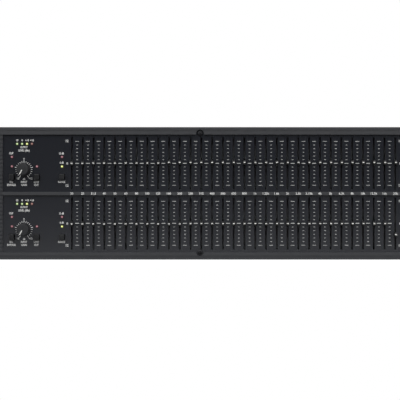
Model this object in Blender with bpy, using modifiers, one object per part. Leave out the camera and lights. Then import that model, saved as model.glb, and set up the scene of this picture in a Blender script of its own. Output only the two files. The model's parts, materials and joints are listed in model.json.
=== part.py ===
"""A graphic equalizer for a 19-inch rack: two channels of 31 faders in a case three units high.

The design frame has x = 0 at the middle of the front panel, y = 0 on the panel's back face between
the ears, and z = 0 at its lower edge; the front faces -Y. The root empty then moves the
whole object so that the middle of its underside, knobs and jacks included, is at the origin.
"""

import math

import bmesh
import bpy
from mathutils import Matrix

MM = 0.001
GAP = 0.3 * MM              # between pieces that touch
OVER = 1.0 * MM             # how far a cutter runs past the face it opens
SINK = 0.5 * MM             # how far a joined shape reaches into its neighbour
ROUND_SIDES = 16            # flats round a large bar or hole; 12 unless stated
SMALL_SIDES = 8
PIN_SIDES = 6

# Front panel
PANEL_WIDTH = 482.6 * MM
PANEL_HEIGHT = 132.5 * MM
RIM_THICKNESS = 4.5 * MM
FLOOR_THICKNESS = 2.5 * MM
TOP_RIM = 7.45 * MM
BOTTOM_RIM = 7.15 * MM
MID_RIDGE = 3.3 * MM
LEFT_END = 43.8 * MM        # from the panel's edge to the recess
EAR_WIDTH = 16.3 * MM
EAR_THICKNESS = 3.0 * MM    # in front of the back face
EAR_PAD = 0.5 * MM          # how far the ears' backs, which the rack rails touch, stand behind it
RAIL_SLOT_INSET = 8.75 * MM
RAIL_SLOT_RISE = 57.15 * MM
RAIL_SLOT_WIDTH = 10.3 * MM
RAIL_SLOT_HEIGHT = 6.8 * MM
RIB_PITCH = 4.0 * MM
RIB_GROOVE = 1.6 * MM
RIB_DEPTH = 1.2 * MM
RIM_LINE_WIDTH = 0.7 * MM
RIM_LINE_DEPTH = 0.5 * MM
RIM_LINE_INSET = 3.2 * MM
NOTCH_RADIUS = 4.0 * MM
TOP_NOTCH_INSET = 1.2 * MM  # from the recess edge to the notch's centre, into the rim
BOTTOM_NOTCH_INSET = -0.4 * MM
NOTCH_FLOOR = 2.2 * MM

# Faders
BANDS = (
    "20", "25", "31_5", "40", "50", "63", "80", "100", "125", "160", "200", "250", "315", "400", "500", "630",
    "800", "1k", "1k25", "1k6", "2k", "2k5", "3k15", "4k", "5k", "6k3", "8k", "10k", "12k5", "16k", "20k",
)
GROUPS = {"low": (0, 10), "mid": (10, 20), "high": (20, 30)}
FADER_PITCH = 10.795 * MM
FADER_TRAVEL = 45.0 * MM
FADER_COLUMN = 69.3 * MM    # from the recess's left edge to the first slot
FIELD_MARGIN = 13.4 * MM    # from the last slot to the recess's right edge
LEVER_HEIGHT = 4.0 * MM
LEVER_THICKNESS = 1.2 * MM
LEVER_FOOT = 8.0 * MM
SLOT_WIDTH = 1.9 * MM
SLOT_END_ROOM = 1.5 * MM
SLOT_TO_RIDGE = 2.4 * MM
TIP_WIDTH = 2.8 * MM
TIP_HEIGHT = 5.4 * MM
TIP_REACH = 5.0 * MM        # in front of the recess floor
TIP_RIDGE_HEIGHT = 1.3 * MM
TIP_RIDGE_REACH = 0.7 * MM
BAR_FRONT = 1.2 * MM
BAR_THICKNESS = 1.4 * MM
# Height of the tips above each channel's centre line, from the band where it starts
REST_STEPS = ({0: 0.0, 2: 0.3 * MM, 9: 0.95 * MM}, {0: -0.35 * MM, 11: 0.0, 30: -11.0 * MM})

# Slide potentiometers and their boards
POT_FRONT = 4.0 * MM
POT_DEPTH = 7.0 * MM
POT_WIDTH = 8.6 * MM
POT_END = 3.0 * MM          # from the end of the slot to the end of the body
POT_GROOVE_WIDTH = 2.6 * MM
POT_GROOVE_DEPTH = 5.0 * MM
POT_GROOVE_ROOM = 0.5 * MM
BOARD_THICKNESS = 1.6 * MM
BOARD_EDGE = 0.6 * MM

# Controls left of the faders: columns from the recess's left edge, heights from the centre line
METER_COLUMN = 14.4 * MM
METER_PITCH = 4.93 * MM
METER_LAMPS = 4
METER_RISE = 19.65 * MM
CLIP_COLUMN = 9.15 * MM
KNOB_COLUMN = 21.2 * MM
CUT_COLUMN = 34.2 * MM
RANGE_COLUMN = 59.3 * MM
UPPER_LAMP_RISE = 6.5 * MM
LOWER_LAMP_RISE = -3.0 * MM
KNOB_RISE = -6.05 * MM
BUTTON_RISE = -13.7 * MM
LAMP_HOLE_RADIUS = 1.6 * MM
LAMP_RADIUS = 1.5 * MM
KNOB_RADIUS = 6.5 * MM
KNOB_TOP_RADIUS = 6.1 * MM
KNOB_REACH = 15.0 * MM
KNOB_LIFT = 0.4 * MM
KNOB_ROUND = 0.7 * MM
SHAFT_RADIUS = 3.0 * MM
SHAFT_ROOM = 0.3 * MM
SHAFT_FOOT = 9.5 * MM
ROTARY_FRONT = 2.0 * MM
ROTARY_WIDTH = 10.0 * MM
ROTARY_HEIGHT = 11.0 * MM
BUTTON_WIDTH = 5.0 * MM
BUTTON_HEIGHT = 5.4 * MM
BUTTON_ROOM = 0.4 * MM
BUTTON_REACH = 4.5 * MM
BUTTON_STROKE = 2.4 * MM
BUTTON_ROUND = 0.5 * MM
STEM_WIDTH = 3.0 * MM
STEM_ROOM = 0.3 * MM
STEM_FOOT = 7.0 * MM
SWITCH_WIDTH = 7.4 * MM
CONTROL_EDGE = 4.0 * MM     # from the outer columns to the control board's side edges

# Case
CASE_DEPTH = 196.0 * MM
CASE_INSET = 27.3 * MM      # from the panel's edge to the tray's side
CASE_UNDER = 1.0 * MM       # the case's underside above the panel's lower edge
CASE_HEIGHT = 130.0 * MM
SHEET = 1.2 * MM
COVER_SHEET = 1.0 * MM
COVER_LIP = 13.0 * MM
FLANGE = 13.0 * MM
VENT_WIDTH = 3.0 * MM
VENT_LENGTH = 40.0 * MM
VENT_PITCH = 7.5 * MM
VENTS = 12
VENT_GROUPS = 2
VENT_GROUP_PITCH = 110.0 * MM
VENT_FROM_REAR = 86.0 * MM

# Rear connectors
XLR_COLUMNS = {"input_1": 29.0 * MM, "output_1": 69.0 * MM, "input_2": 129.0 * MM, "output_2": 169.0 * MM}
XLR_RISE = 84.0 * MM
XLR_BODY_RADIUS = 11.0 * MM
XLR_BODY_DEPTH = 18.0 * MM
XLR_FLANGE_ROOM_X = 2.0 * MM
XLR_FLANGE_ROOM_Z = 4.5 * MM
XLR_FLANGE = 2.0 * MM
XLR_CORNER = 3.0 * MM
XLR_WALL = 1.5 * MM
XLR_CUP_DEPTH = 14.0 * MM
XLR_CORE_GROOVE = 2.3 * MM
XLR_PIN_RADIUS = 1.2 * MM
XLR_PIN_CIRCLE = 4.3 * MM
XLR_PIN_LENGTH = 12.0 * MM
JACK_RISE = 25.0 * MM
JACK_BORE_RADIUS = 3.3 * MM
JACK_COLLAR_RADIUS = 4.5 * MM
JACK_COLLAR = 5.0 * MM
JACK_WIDTH = 15.0 * MM
JACK_HEIGHT = 13.0 * MM
JACK_DEPTH = 27.0 * MM
JACK_BORE_DEPTH = 30.0 * MM
INLET_COLUMN = 35.0 * MM    # from the case's other side
INLET_RISE = 84.0 * MM
INLET_WIDTH = 28.0 * MM
INLET_HEIGHT = 20.0 * MM
INLET_DEPTH = 19.0 * MM
INLET_FLANGE_WIDTH = 48.0 * MM
INLET_FLANGE_HEIGHT = 25.0 * MM
INLET_FLANGE = 2.6 * MM
INLET_WALL = 2.0 * MM
INLET_CORNER = 5.0 * MM
BLADE_PITCH = 7.0 * MM
BLADE_WIDTH = 2.0 * MM
BLADE_HEIGHT = 4.0 * MM
BLADE_LENGTH = 12.0 * MM
EARTH_RISE = 2.0 * MM
ROCKER_COLUMN = 80.0 * MM
ROCKER_HALF_HEIGHT = 7.6 * MM
ROCKER_WIDTH = 9.6 * MM
ROCKER_CROWN = 1.6 * MM
ROCKER_DIP = 0.2 * MM
ROCKER_BACK = 3.4 * MM
ROCKER_KEEL = 5.5 * MM
ROCKER_TILT_DEG = 11.0
ROCKER_ROOM = 0.8 * MM
BEZEL_EDGE = 2.0 * MM
BEZEL = 2.0 * MM
ROCKER_BODY_WALL = 1.2 * MM
ROCKER_BODY_DEPTH = 16.0 * MM

# Inside the case
MAIN_BOARD_LIFT = 10.0 * MM
MAIN_BOARD_DEPTH = 90.0 * MM
MAIN_BOARD_MARGIN = 12.0 * MM
MAIN_BOARD_REAR_ROOM = 4.0 * MM
POST_RADIUS = 3.0 * MM
POST_INSET = 8.0 * MM
CHIP = (19.0 * MM, 7.0 * MM, 4.0 * MM)
CHIP_PITCH = 28.0 * MM
CHIP_MARGIN = 16.8 * MM     # from the board's front edge to the first row's middle
CHIP_ROWS = 2
CHIP_COLUMNS = 5
POWER_BOARD = (62.0 * MM, 80.0 * MM)
POWER_COLUMN = 186.0 * MM   # from the case's other side to the board's middle
POWER_FROM_REAR = 76.0 * MM
SMOOTHING_RADIUS = 9.0 * MM
SMOOTHING_HEIGHT = 32.0 * MM
SINK_FIN = 2.5 * MM
SINK_FIN_PITCH = 7.0 * MM
SINK_FINS = 6
SINK_HEIGHT = 30.0 * MM
SINK_DEPTH = 16.0 * MM
SINK_BACK = 3.0 * MM
CORE_RADIUS = 27.0 * MM
CORE_TUBE = 14.0 * MM
CORE_HUB_RADIUS = 16.0 * MM
CORE_PLATE_RADIUS = 24.0 * MM
CORE_PLATE = 1.5 * MM
CORE_COLUMN = 70.0 * MM
CORE_FROM_REAR = 86.0 * MM

# Worked out from the sizes above
RECESS_LEFT = LEFT_END - PANEL_WIDTH / 2
FIRST_FADER = RECESS_LEFT + FADER_COLUMN
RECESS_RIGHT = FIRST_FADER + (len(BANDS) - 1) * FADER_PITCH + FIELD_MARGIN
RECESS_HEIGHT = (PANEL_HEIGHT - TOP_RIM - BOTTOM_RIM - MID_RIDGE) / 2
SLOT_LENGTH = FADER_TRAVEL + LEVER_HEIGHT + 2 * SLOT_END_ROOM
RIDGE_MIDDLE = BOTTOM_RIM + RECESS_HEIGHT + MID_RIDGE / 2
CENTRE_OFFSET = MID_RIDGE / 2 + SLOT_TO_RIDGE + SLOT_LENGTH / 2
CENTRES = (RIDGE_MIDDLE + CENTRE_OFFSET, RIDGE_MIDDLE - CENTRE_OFFSET)
POT_LENGTH = SLOT_LENGTH + 2 * POT_END
POT_BACK = POT_FRONT + POT_DEPTH
CASE_SIDE = PANEL_WIDTH / 2 - CASE_INSET
CASE_TOP = CASE_UNDER + CASE_HEIGHT
WALL_TOP = CASE_TOP - COVER_SHEET - GAP
REAR_PLATE_FRONT = CASE_DEPTH - SHEET
FRONT_MOST = -FLOOR_THICKNESS - KNOB_REACH
REAR_MOST = CASE_DEPTH + JACK_COLLAR

BLACK_COAT = ((0.020, 0.021, 0.024), 0.45, 0.0)
NYLON = ((0.012, 0.012, 0.013), 0.5, 0.0)
RUBBERY = ((0.028, 0.029, 0.032), 0.6, 0.0)
ZINC_PLATE = ((0.42, 0.42, 0.40), 0.35, 1.0)
BOARD_GREEN = ((0.03, 0.12, 0.06), 0.5, 0.0)
BLACK_PLASTIC = ((0.015, 0.015, 0.016), 0.4, 0.0)
VARNISHED_COPPER = ((0.30, 0.12, 0.05), 0.4, 0.0)


def new_collection(name):
    """A collection in the scene, for the parts or for the cutters and joined shapes."""
    made = bpy.data.collections.new(name)
    bpy.context.scene.collection.children.link(made)
    return made


def put(name, shape, collection):
    """An object for a finished bmesh."""
    mesh = bpy.data.meshes.new(name)
    shape.to_mesh(mesh)
    shape.free()
    made = bpy.data.objects.new(name, mesh)
    collection.objects.link(made)
    return made


def block(shape, low, high):
    """Adds a box between two corners."""
    size = [b - a for a, b in zip(low, high)]
    middle = [(a + b) / 2 for a, b in zip(low, high)]
    place = Matrix.Translation(middle) @ Matrix.Diagonal((*size, 1.0))
    return bmesh.ops.create_cube(shape, size=1.0, matrix=place)["verts"]


def rod(shape, x, z, radius, front, back, sides=12):
    """Adds a round bar that runs along Y, from front to back."""
    place = Matrix.Translation((x, (front + back) / 2, z)) @ Matrix.Rotation(math.pi / 2, 4, "X")
    bmesh.ops.create_cone(
        shape, cap_ends=True, segments=sides, radius1=radius, radius2=radius, depth=back - front, matrix=place
    )


def post(shape, x, y, radius, bottom, top, sides=12):
    """Adds a round bar that stands along Z."""
    place = Matrix.Translation((x, y, (bottom + top) / 2))
    bmesh.ops.create_cone(
        shape, cap_ends=True, segments=sides, radius1=radius, radius2=radius, depth=top - bottom, matrix=place
    )


def centred(x, z, width, height, front, back):
    """The two corners of a box that is centred on x and z."""
    return (x - width / 2, front, z - height / 2), (x + width / 2, back, z + height / 2)


def evaluated_mesh(thing):
    """The mesh that an object's curve or modifiers give, with its loose seams closed."""
    state = bpy.context.evaluated_depsgraph_get()
    mesh = bpy.data.meshes.new_from_object(thing.evaluated_get(state))
    shape = bmesh.new()
    shape.from_mesh(mesh)
    bmesh.ops.remove_doubles(shape, verts=shape.verts, dist=0.000001)
    bmesh.ops.recalc_face_normals(shape, faces=shape.faces)
    shape.to_mesh(mesh)
    shape.free()
    return mesh


def prism(name, outline, thickness, place, collection):
    """A flat outline made solid, half its thickness to each side of its plane, then placed."""
    curve = bpy.data.curves.new(name, "CURVE")
    curve.dimensions = "2D"
    curve.fill_mode = "BOTH"
    curve.extrude = thickness / 2
    spline = curve.splines.new("POLY")
    spline.points.add(len(outline) - 1)
    spline.use_cyclic_u = True
    for point, (u, v) in zip(spline.points, outline):
        point.co = (u, v, 0.0, 1.0)
    guide = bpy.data.objects.new(name, curve)
    collection.objects.link(guide)
    mesh = evaluated_mesh(guide)
    bpy.data.objects.remove(guide)
    mesh.transform(place)
    made = bpy.data.objects.new(name, mesh)
    collection.objects.link(made)
    return made


def combine(target, tool, operation):
    """Joins a shape to a part, or cuts it out. The shape stays as a hidden guide."""
    tool.hide_render = True
    tool.display_type = "WIRE"
    modifier = target.modifiers.new(tool.name, "BOOLEAN")
    modifier.operation = operation
    modifier.solver = "EXACT"
    modifier.object = tool


def finish(part, name, look):
    """Gives a part its material."""
    colour, roughness, metallic = look
    material = bpy.data.materials.new(name)
    material.use_nodes = True
    shader = material.node_tree.nodes["Principled BSDF"]
    shader.inputs["Base Color"].default_value = (*colour, 1.0)
    shader.inputs["Roughness"].default_value = roughness
    shader.inputs["Metallic"].default_value = metallic
    part.data.materials.clear()
    part.data.materials.append(material)


def fader_x(band):
    """Where a band's slot is."""
    return FIRST_FADER + band * FADER_PITCH


def rest_height(channel, band):
    """How far above its centre line a fader stands."""
    steps = REST_STEPS[channel]
    return steps[max(start for start in steps if start <= band)]


def lamps(channel):
    """The places of a channel's nine lamps: the meter, then clip, bypass, low cut and the two ranges."""
    centre = CENTRES[channel]
    places = [(METER_COLUMN + i * METER_PITCH, METER_RISE) for i in range(METER_LAMPS)]
    places += [(CLIP_COLUMN, UPPER_LAMP_RISE), (CLIP_COLUMN, LOWER_LAMP_RISE), (CUT_COLUMN, LOWER_LAMP_RISE)]
    places += [(RANGE_COLUMN, UPPER_LAMP_RISE), (RANGE_COLUMN, LOWER_LAMP_RISE)]
    return [(RECESS_LEFT + column, centre + rise) for column, rise in places]


def buttons(channel):
    """The places of a channel's three push buttons, by name."""
    columns = {"bypass": CLIP_COLUMN, "low_cut": CUT_COLUMN, "range": RANGE_COLUMN}
    return {name: (RECESS_LEFT + column, CENTRES[channel] + BUTTON_RISE) for name, column in columns.items()}


def knob_place(channel):
    """The gain knob's axis."""
    return RECESS_LEFT + KNOB_COLUMN, CENTRES[channel] + KNOB_RISE


def make_front_panel(parts, tools):
    """The panel: raised rims, ridge and ribbed ends round two recesses, and every hole in it."""
    half = PANEL_WIDTH / 2
    shape = bmesh.new()
    block(shape, (-half, -RIM_THICKNESS, 0.0), (half, 0.0, PANEL_HEIGHT))
    panel = put("front_panel", shape, parts)
    pads = bmesh.new()
    block(pads, (-half, -SINK, 0.0), (EAR_WIDTH - half, EAR_PAD, PANEL_HEIGHT))
    block(pads, (half - EAR_WIDTH, -SINK, 0.0), (half, EAR_PAD, PANEL_HEIGHT))
    combine(panel, put("ear_pads", pads, tools), "UNION")

    front = -RIM_THICKNESS - OVER
    recesses = bmesh.new()
    for base in (BOTTOM_RIM, BOTTOM_RIM + RECESS_HEIGHT + MID_RIDGE):
        block(recesses, (RECESS_LEFT, front, base), (RECESS_RIGHT, -FLOOR_THICKNESS, base + RECESS_HEIGHT))
    combine(panel, put("recesses", recesses, tools), "DIFFERENCE")

    ends = bmesh.new()
    for side in (-1, 1):
        inner, outer = side * (half - EAR_WIDTH), side * (half + OVER)
        low_x, high_x = min(inner, outer), max(inner, outer)
        block(ends, (low_x, front, -OVER), (high_x, -EAR_THICKNESS, PANEL_HEIGHT + OVER))
    combine(panel, put("ear_steps", ends, tools), "DIFFERENCE")

    grooves = bmesh.new()
    rows = int((RECESS_HEIGHT + MID_RIDGE / 2) // RIB_PITCH)
    for row in range(-rows - 1, rows + 1):
        z = RIDGE_MIDDLE + (row + 0.5) * RIB_PITCH
        low_z, high_z = z - RIB_GROOVE / 2, z + RIB_GROOVE / 2
        for low_x, high_x in ((EAR_WIDTH - half, RECESS_LEFT), (RECESS_RIGHT, half - EAR_WIDTH)):
            block(grooves, (low_x - OVER, front, low_z), (high_x + OVER, RIB_DEPTH - RIM_THICKNESS, high_z))
    combine(panel, put("rib_grooves", grooves, tools), "DIFFERENCE")

    lines = bmesh.new()
    for z in (RIM_LINE_INSET, PANEL_HEIGHT - RIM_LINE_INSET):
        low = (-half - OVER, front, z - RIM_LINE_WIDTH / 2)
        block(lines, low, (half + OVER, RIM_LINE_DEPTH - RIM_THICKNESS, z + RIM_LINE_WIDTH / 2))
    combine(panel, put("rim_lines", lines, tools), "DIFFERENCE")

    notches = bmesh.new()
    for z in (BOTTOM_RIM - BOTTOM_NOTCH_INSET, PANEL_HEIGHT - TOP_RIM + TOP_NOTCH_INSET):
        rod(notches, 0.0, z, NOTCH_RADIUS, front, -NOTCH_FLOOR)
    combine(panel, put("screw_notches", notches, tools), "DIFFERENCE")

    holes = bmesh.new()
    for centre in CENTRES:
        for band in range(len(BANDS)):
            block(holes, *centred(fader_x(band), centre, SLOT_WIDTH, SLOT_LENGTH, front, OVER))
    for channel in range(len(CENTRES)):
        for x, z in lamps(channel):
            rod(holes, x, z, LAMP_HOLE_RADIUS, front, OVER, SMALL_SIDES)
        for x, z in buttons(channel).values():
            width, height = BUTTON_WIDTH + 2 * BUTTON_ROOM, BUTTON_HEIGHT + 2 * BUTTON_ROOM
            block(holes, *centred(x, z, width, height, front, OVER))
        rod(holes, *knob_place(channel), SHAFT_RADIUS + 2 * SHAFT_ROOM, front, OVER)
    combine(panel, put("panel_holes", holes, tools), "DIFFERENCE")

    rails = bmesh.new()
    straight = RAIL_SLOT_WIDTH - RAIL_SLOT_HEIGHT
    for side in (-1, 1):
        for level in (-1, 1):
            x, z = side * (half - RAIL_SLOT_INSET), PANEL_HEIGHT / 2 + level * RAIL_SLOT_RISE / 2
            block(rails, *centred(x, z, straight, RAIL_SLOT_HEIGHT, front, OVER))
    rails = put("rail_slots", rails, tools)
    combine(panel, rails, "DIFFERENCE")
    for end in (-1, 1):
        ends = bmesh.new()
        for side in (-1, 1):
            for level in (-1, 1):
                x = side * (half - RAIL_SLOT_INSET) + end * straight / 2
                rod(ends, x, PANEL_HEIGHT / 2 + level * RAIL_SLOT_RISE / 2, RAIL_SLOT_HEIGHT / 2, front, OVER)
        combine(panel, put("rail_slot_ends", ends, tools), "DIFFERENCE")
    finish(panel, "panel_coat", BLACK_COAT)
    return [panel]


def fader_mesh(tools):
    """One fader lever about its own centre: the finger tip, its ridge, and the blade behind them."""
    base, front = -FLOOR_THICKNESS - GAP, -FLOOR_THICKNESS - TIP_REACH
    shoulder = front + TIP_RIDGE_REACH
    half, ridge = TIP_HEIGHT / 2, TIP_RIDGE_HEIGHT / 2
    foot, edge = ridge + TIP_RIDGE_REACH / 2, half - TIP_RIDGE_REACH
    outline = [
        (base, -half), (shoulder, -edge), (shoulder, -foot), (front, -ridge),
        (front, ridge), (shoulder, foot), (shoulder, edge), (base, half),
    ]
    upright = Matrix(((0.0, 0.0, 1.0, 0.0), (1.0, 0.0, 0.0, 0.0), (0.0, 1.0, 0.0, 0.0), (0.0, 0.0, 0.0, 1.0)))
    tip = prism("fader_tip", outline, TIP_WIDTH, upright, tools)
    shape = bmesh.new()
    block(shape, *centred(0.0, 0.0, LEVER_THICKNESS, LEVER_HEIGHT, base - SINK, LEVER_FOOT))
    blade = put("fader_blade", shape, tools)
    combine(tip, blade, "UNION")
    mesh = evaluated_mesh(tip)
    for guide in (tip, blade):
        bpy.data.objects.remove(guide)
    return mesh


def make_faders(parts, tools):
    """Channel 1 has 31 faders and channel 2 has the 20 kHz one, and three combs of ten."""
    lever = fader_mesh(tools)
    made = []
    single = [(0, band) for band in range(len(BANDS))] + [(1, len(BANDS) - 1)]
    for channel, band in single:
        fader = bpy.data.objects.new(f"fader_{channel + 1}_{BANDS[band]}_hz", lever)
        parts.objects.link(fader)
        fader.location = (fader_x(band), 0.0, CENTRES[channel] + rest_height(channel, band))
        made.append(fader)
    for name, (first, last) in GROUPS.items():
        teeth = bmesh.new()
        for band in range(first, last):
            copy = lever.copy()
            copy.transform(Matrix.Translation((band * FADER_PITCH, 0.0, rest_height(1, band))))
            teeth.from_mesh(copy)
            bpy.data.meshes.remove(copy)
        low = (first * FADER_PITCH - LEVER_THICKNESS, BAR_FRONT, -LEVER_HEIGHT / 4)
        high = ((last - 1) * FADER_PITCH + LEVER_THICKNESS, BAR_FRONT + BAR_THICKNESS, LEVER_HEIGHT / 4)
        bar = bmesh.new()
        block(bar, low, high)
        comb = put(f"faders_2_{name}_bands", bar, parts)
        levers = put(f"levers_{name}", teeth, tools)
        combine(comb, levers, "UNION")
        for thing in (comb, levers):
            thing.location = (FIRST_FADER, 0.0, CENTRES[1])
        finish(comb, "fader_nylon", NYLON)
        made.append(comb)
    finish(made[0], "fader_nylon", NYLON)  # the single faders share one mesh
    return made


def make_knobs(parts):
    """Each gain knob, turned with its shaft about the shaft's axis."""
    base = FLOOR_THICKNESS + KNOB_LIFT
    top = FLOOR_THICKNESS + KNOB_REACH
    profile = [
        (0.0, top), (KNOB_TOP_RADIUS - KNOB_ROUND, top), (KNOB_TOP_RADIUS, top - KNOB_ROUND),
        (KNOB_RADIUS, base), (SHAFT_RADIUS, base), (SHAFT_RADIUS, -SHAFT_FOOT), (0.0, -SHAFT_FOOT),
    ]
    made = []
    for channel in range(len(CENTRES)):
        mesh = bpy.data.meshes.new(f"gain_knob_{channel + 1}")
        edges = [(i, i + 1) for i in range(len(profile) - 1)]
        mesh.from_pydata([(radius, 0.0, height) for radius, height in profile], edges, [])
        knob = bpy.data.objects.new(f"gain_knob_{channel + 1}", mesh)
        parts.objects.link(knob)
        turn = knob.modifiers.new("turn", "SCREW")
        turn.steps = turn.render_steps = 32
        turn.use_merge_vertices = True
        turn.merge_threshold = 0.000001
        x, z = knob_place(channel)
        knob.location = (x, 0.0, z)
        knob.rotation_euler = (math.pi / 2, 0.0, 0.0)
        finish(knob, "knob_rubber", RUBBERY)
        made.append(knob)
    return made


def make_buttons(parts, tools):
    """The push buttons: a rounded cap in the panel and the stem that enters its switch."""
    made = []
    for channel in range(len(CENTRES)):
        for name, (x, z) in buttons(channel).items():
            cap = bmesh.new()
            corners = centred(0.0, 0.0, BUTTON_WIDTH, BUTTON_HEIGHT, -FLOOR_THICKNESS - BUTTON_REACH, GAP)
            block(cap, *corners)
            edges = list(cap.edges)
            bmesh.ops.bevel(cap, geom=edges, offset=BUTTON_ROUND, segments=2, profile=0.5, affect="EDGES")
            button = put(f"{name}_button_{channel + 1}", cap, parts)
            shape = bmesh.new()
            block(shape, *centred(0.0, 0.0, STEM_WIDTH, STEM_WIDTH, -SINK, STEM_FOOT))
            stem = put(f"{name}_stem_{channel + 1}", shape, tools)
            combine(button, stem, "UNION")
            for thing in (button, stem):
                thing.location = (x, 0.0, z)
            finish(button, "button_plastic", BLACK_PLASTIC)
            made.append(button)
    return made


def make_fader_boards(parts, tools):
    """Each channel's circuit board with its 31 slide potentiometers soldered on."""
    made = []
    left = fader_x(0) - POT_WIDTH / 2 - BOARD_EDGE
    right = fader_x(len(BANDS) - 1) + POT_WIDTH / 2 + BOARD_EDGE
    for channel, centre in enumerate(CENTRES):
        shape = bmesh.new()
        half = POT_LENGTH / 2 + BOARD_EDGE
        block(shape, (left, POT_BACK, centre - half), (right, POT_BACK + BOARD_THICKNESS, centre + half))
        board = put(f"fader_board_{channel + 1}", shape, parts)
        bodies, grooves = bmesh.new(), bmesh.new()
        groove = POT_GROOVE_WIDTH, SLOT_LENGTH + 2 * POT_GROOVE_ROOM
        for band in range(len(BANDS)):
            x = fader_x(band)
            block(bodies, *centred(x, centre, POT_WIDTH, POT_LENGTH, POT_FRONT, POT_BACK + SINK))
            block(grooves, *centred(x, centre, *groove, POT_FRONT - OVER, POT_FRONT + POT_GROOVE_DEPTH))
        combine(board, put(f"slide_pots_{channel + 1}", bodies, tools), "UNION")
        combine(board, put(f"slide_pot_grooves_{channel + 1}", grooves, tools), "DIFFERENCE")
        finish(board, "circuit_board", BOARD_GREEN)
        made.append(board)
    return made


def make_control_board(parts, tools):
    """The board behind the left part of the panel: lamps, switches and rotary potentiometers."""
    left = RECESS_LEFT + CLIP_COLUMN - CONTROL_EDGE
    right = RECESS_LEFT + RANGE_COLUMN + CONTROL_EDGE
    half = POT_LENGTH / 2 + BOARD_EDGE
    shape = bmesh.new()
    block(shape, (left, POT_BACK, CENTRES[1] - half), (right, POT_BACK + BOARD_THICKNESS, CENTRES[0] + half))
    board = put("control_board", shape, parts)
    bodies, bores = bmesh.new(), bmesh.new()
    switch_front = GAP + BUTTON_STROKE + GAP
    for channel in range(len(CENTRES)):
        for x, z in lamps(channel):
            rod(bodies, x, z, LAMP_RADIUS, GAP, POT_BACK + SINK, PIN_SIDES)
        for x, z in buttons(channel).values():
            block(bodies, *centred(x, z, SWITCH_WIDTH, SWITCH_WIDTH, switch_front, POT_BACK + SINK))
            bore = STEM_WIDTH + 2 * STEM_ROOM
            block(bores, *centred(x, z, bore, bore, switch_front - OVER, STEM_FOOT + BUTTON_STROKE + GAP))
        x, z = knob_place(channel)
        block(bodies, *centred(x, z, ROTARY_WIDTH, ROTARY_HEIGHT, ROTARY_FRONT, POT_BACK + SINK))
        rod(bores, x, z, SHAFT_RADIUS + SHAFT_ROOM, ROTARY_FRONT - OVER, SHAFT_FOOT + SHAFT_ROOM)
    combine(board, put("control_bodies", bodies, tools), "UNION")
    combine(board, put("control_bores", bores, tools), "DIFFERENCE")
    finish(board, "circuit_board", BOARD_GREEN)
    return [board]


def make_case(parts, tools):
    """The folded tray with its two flanged sides, and the cover that laps over them."""
    shape = bmesh.new()
    flange_back = REAR_PLATE_FRONT - GAP
    block(shape, (-CASE_SIDE, GAP, CASE_UNDER), (CASE_SIDE, flange_back, CASE_UNDER + SHEET))
    tray = put("chassis_tray", shape, parts)
    inner, lip = CASE_SIDE - SHEET, CASE_SIDE - FLANGE
    for side in (-1, 1):
        outline = [
            (side * CASE_SIDE, GAP), (side * lip, GAP),
            (side * lip, GAP + SHEET), (side * inner, GAP + SHEET),
            (side * inner, flange_back - SHEET), (side * lip, flange_back - SHEET),
            (side * lip, flange_back), (side * CASE_SIDE, flange_back),
        ]
        middle = Matrix.Translation((0.0, 0.0, (CASE_UNDER + SHEET / 2 + WALL_TOP) / 2))
        wall = prism(f"tray_wall_{'right' if side > 0 else 'left'}", outline,
                     WALL_TOP - CASE_UNDER - SHEET / 2, middle, tools)
        combine(tray, wall, "UNION")
    finish(tray, "case_coat", BLACK_COAT)

    outer, inner = CASE_SIDE + GAP + COVER_SHEET, CASE_SIDE + GAP
    outline = [
        (-outer, CASE_TOP - COVER_LIP), (-inner, CASE_TOP - COVER_LIP), (-inner, CASE_TOP - COVER_SHEET),
        (inner, CASE_TOP - COVER_SHEET), (inner, CASE_TOP - COVER_LIP), (outer, CASE_TOP - COVER_LIP),
        (outer, CASE_TOP), (-outer, CASE_TOP),
    ]
    length = CASE_DEPTH - GAP
    lengthwise = Matrix(((1.0, 0.0, 0.0, 0.0), (0.0, 0.0, -1.0, GAP + length / 2),
                         (0.0, 1.0, 0.0, 0.0), (0.0, 0.0, 0.0, 1.0)))
    cover = prism("top_cover", outline, length, lengthwise, parts)
    vents = bmesh.new()
    for group in range(VENT_GROUPS):
        start = CASE_SIDE - CORE_COLUMN - group * VENT_GROUP_PITCH - (VENTS - 1) * VENT_PITCH / 2
        for i in range(VENTS):
            x, y = start + i * VENT_PITCH, CASE_DEPTH - VENT_FROM_REAR
            low = (x - VENT_WIDTH / 2, y - VENT_LENGTH / 2, CASE_TOP - COVER_SHEET - OVER)
            block(vents, low, (x + VENT_WIDTH / 2, y + VENT_LENGTH / 2, CASE_TOP + OVER))
    combine(cover, put("vents", vents, tools), "DIFFERENCE")
    finish(cover, "cover_coat", BLACK_COAT)
    return [tray, cover]


def xlr_x(name):
    """A connector's place across the rear, from the case's left side."""
    return XLR_COLUMNS[name] - CASE_SIDE


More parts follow.
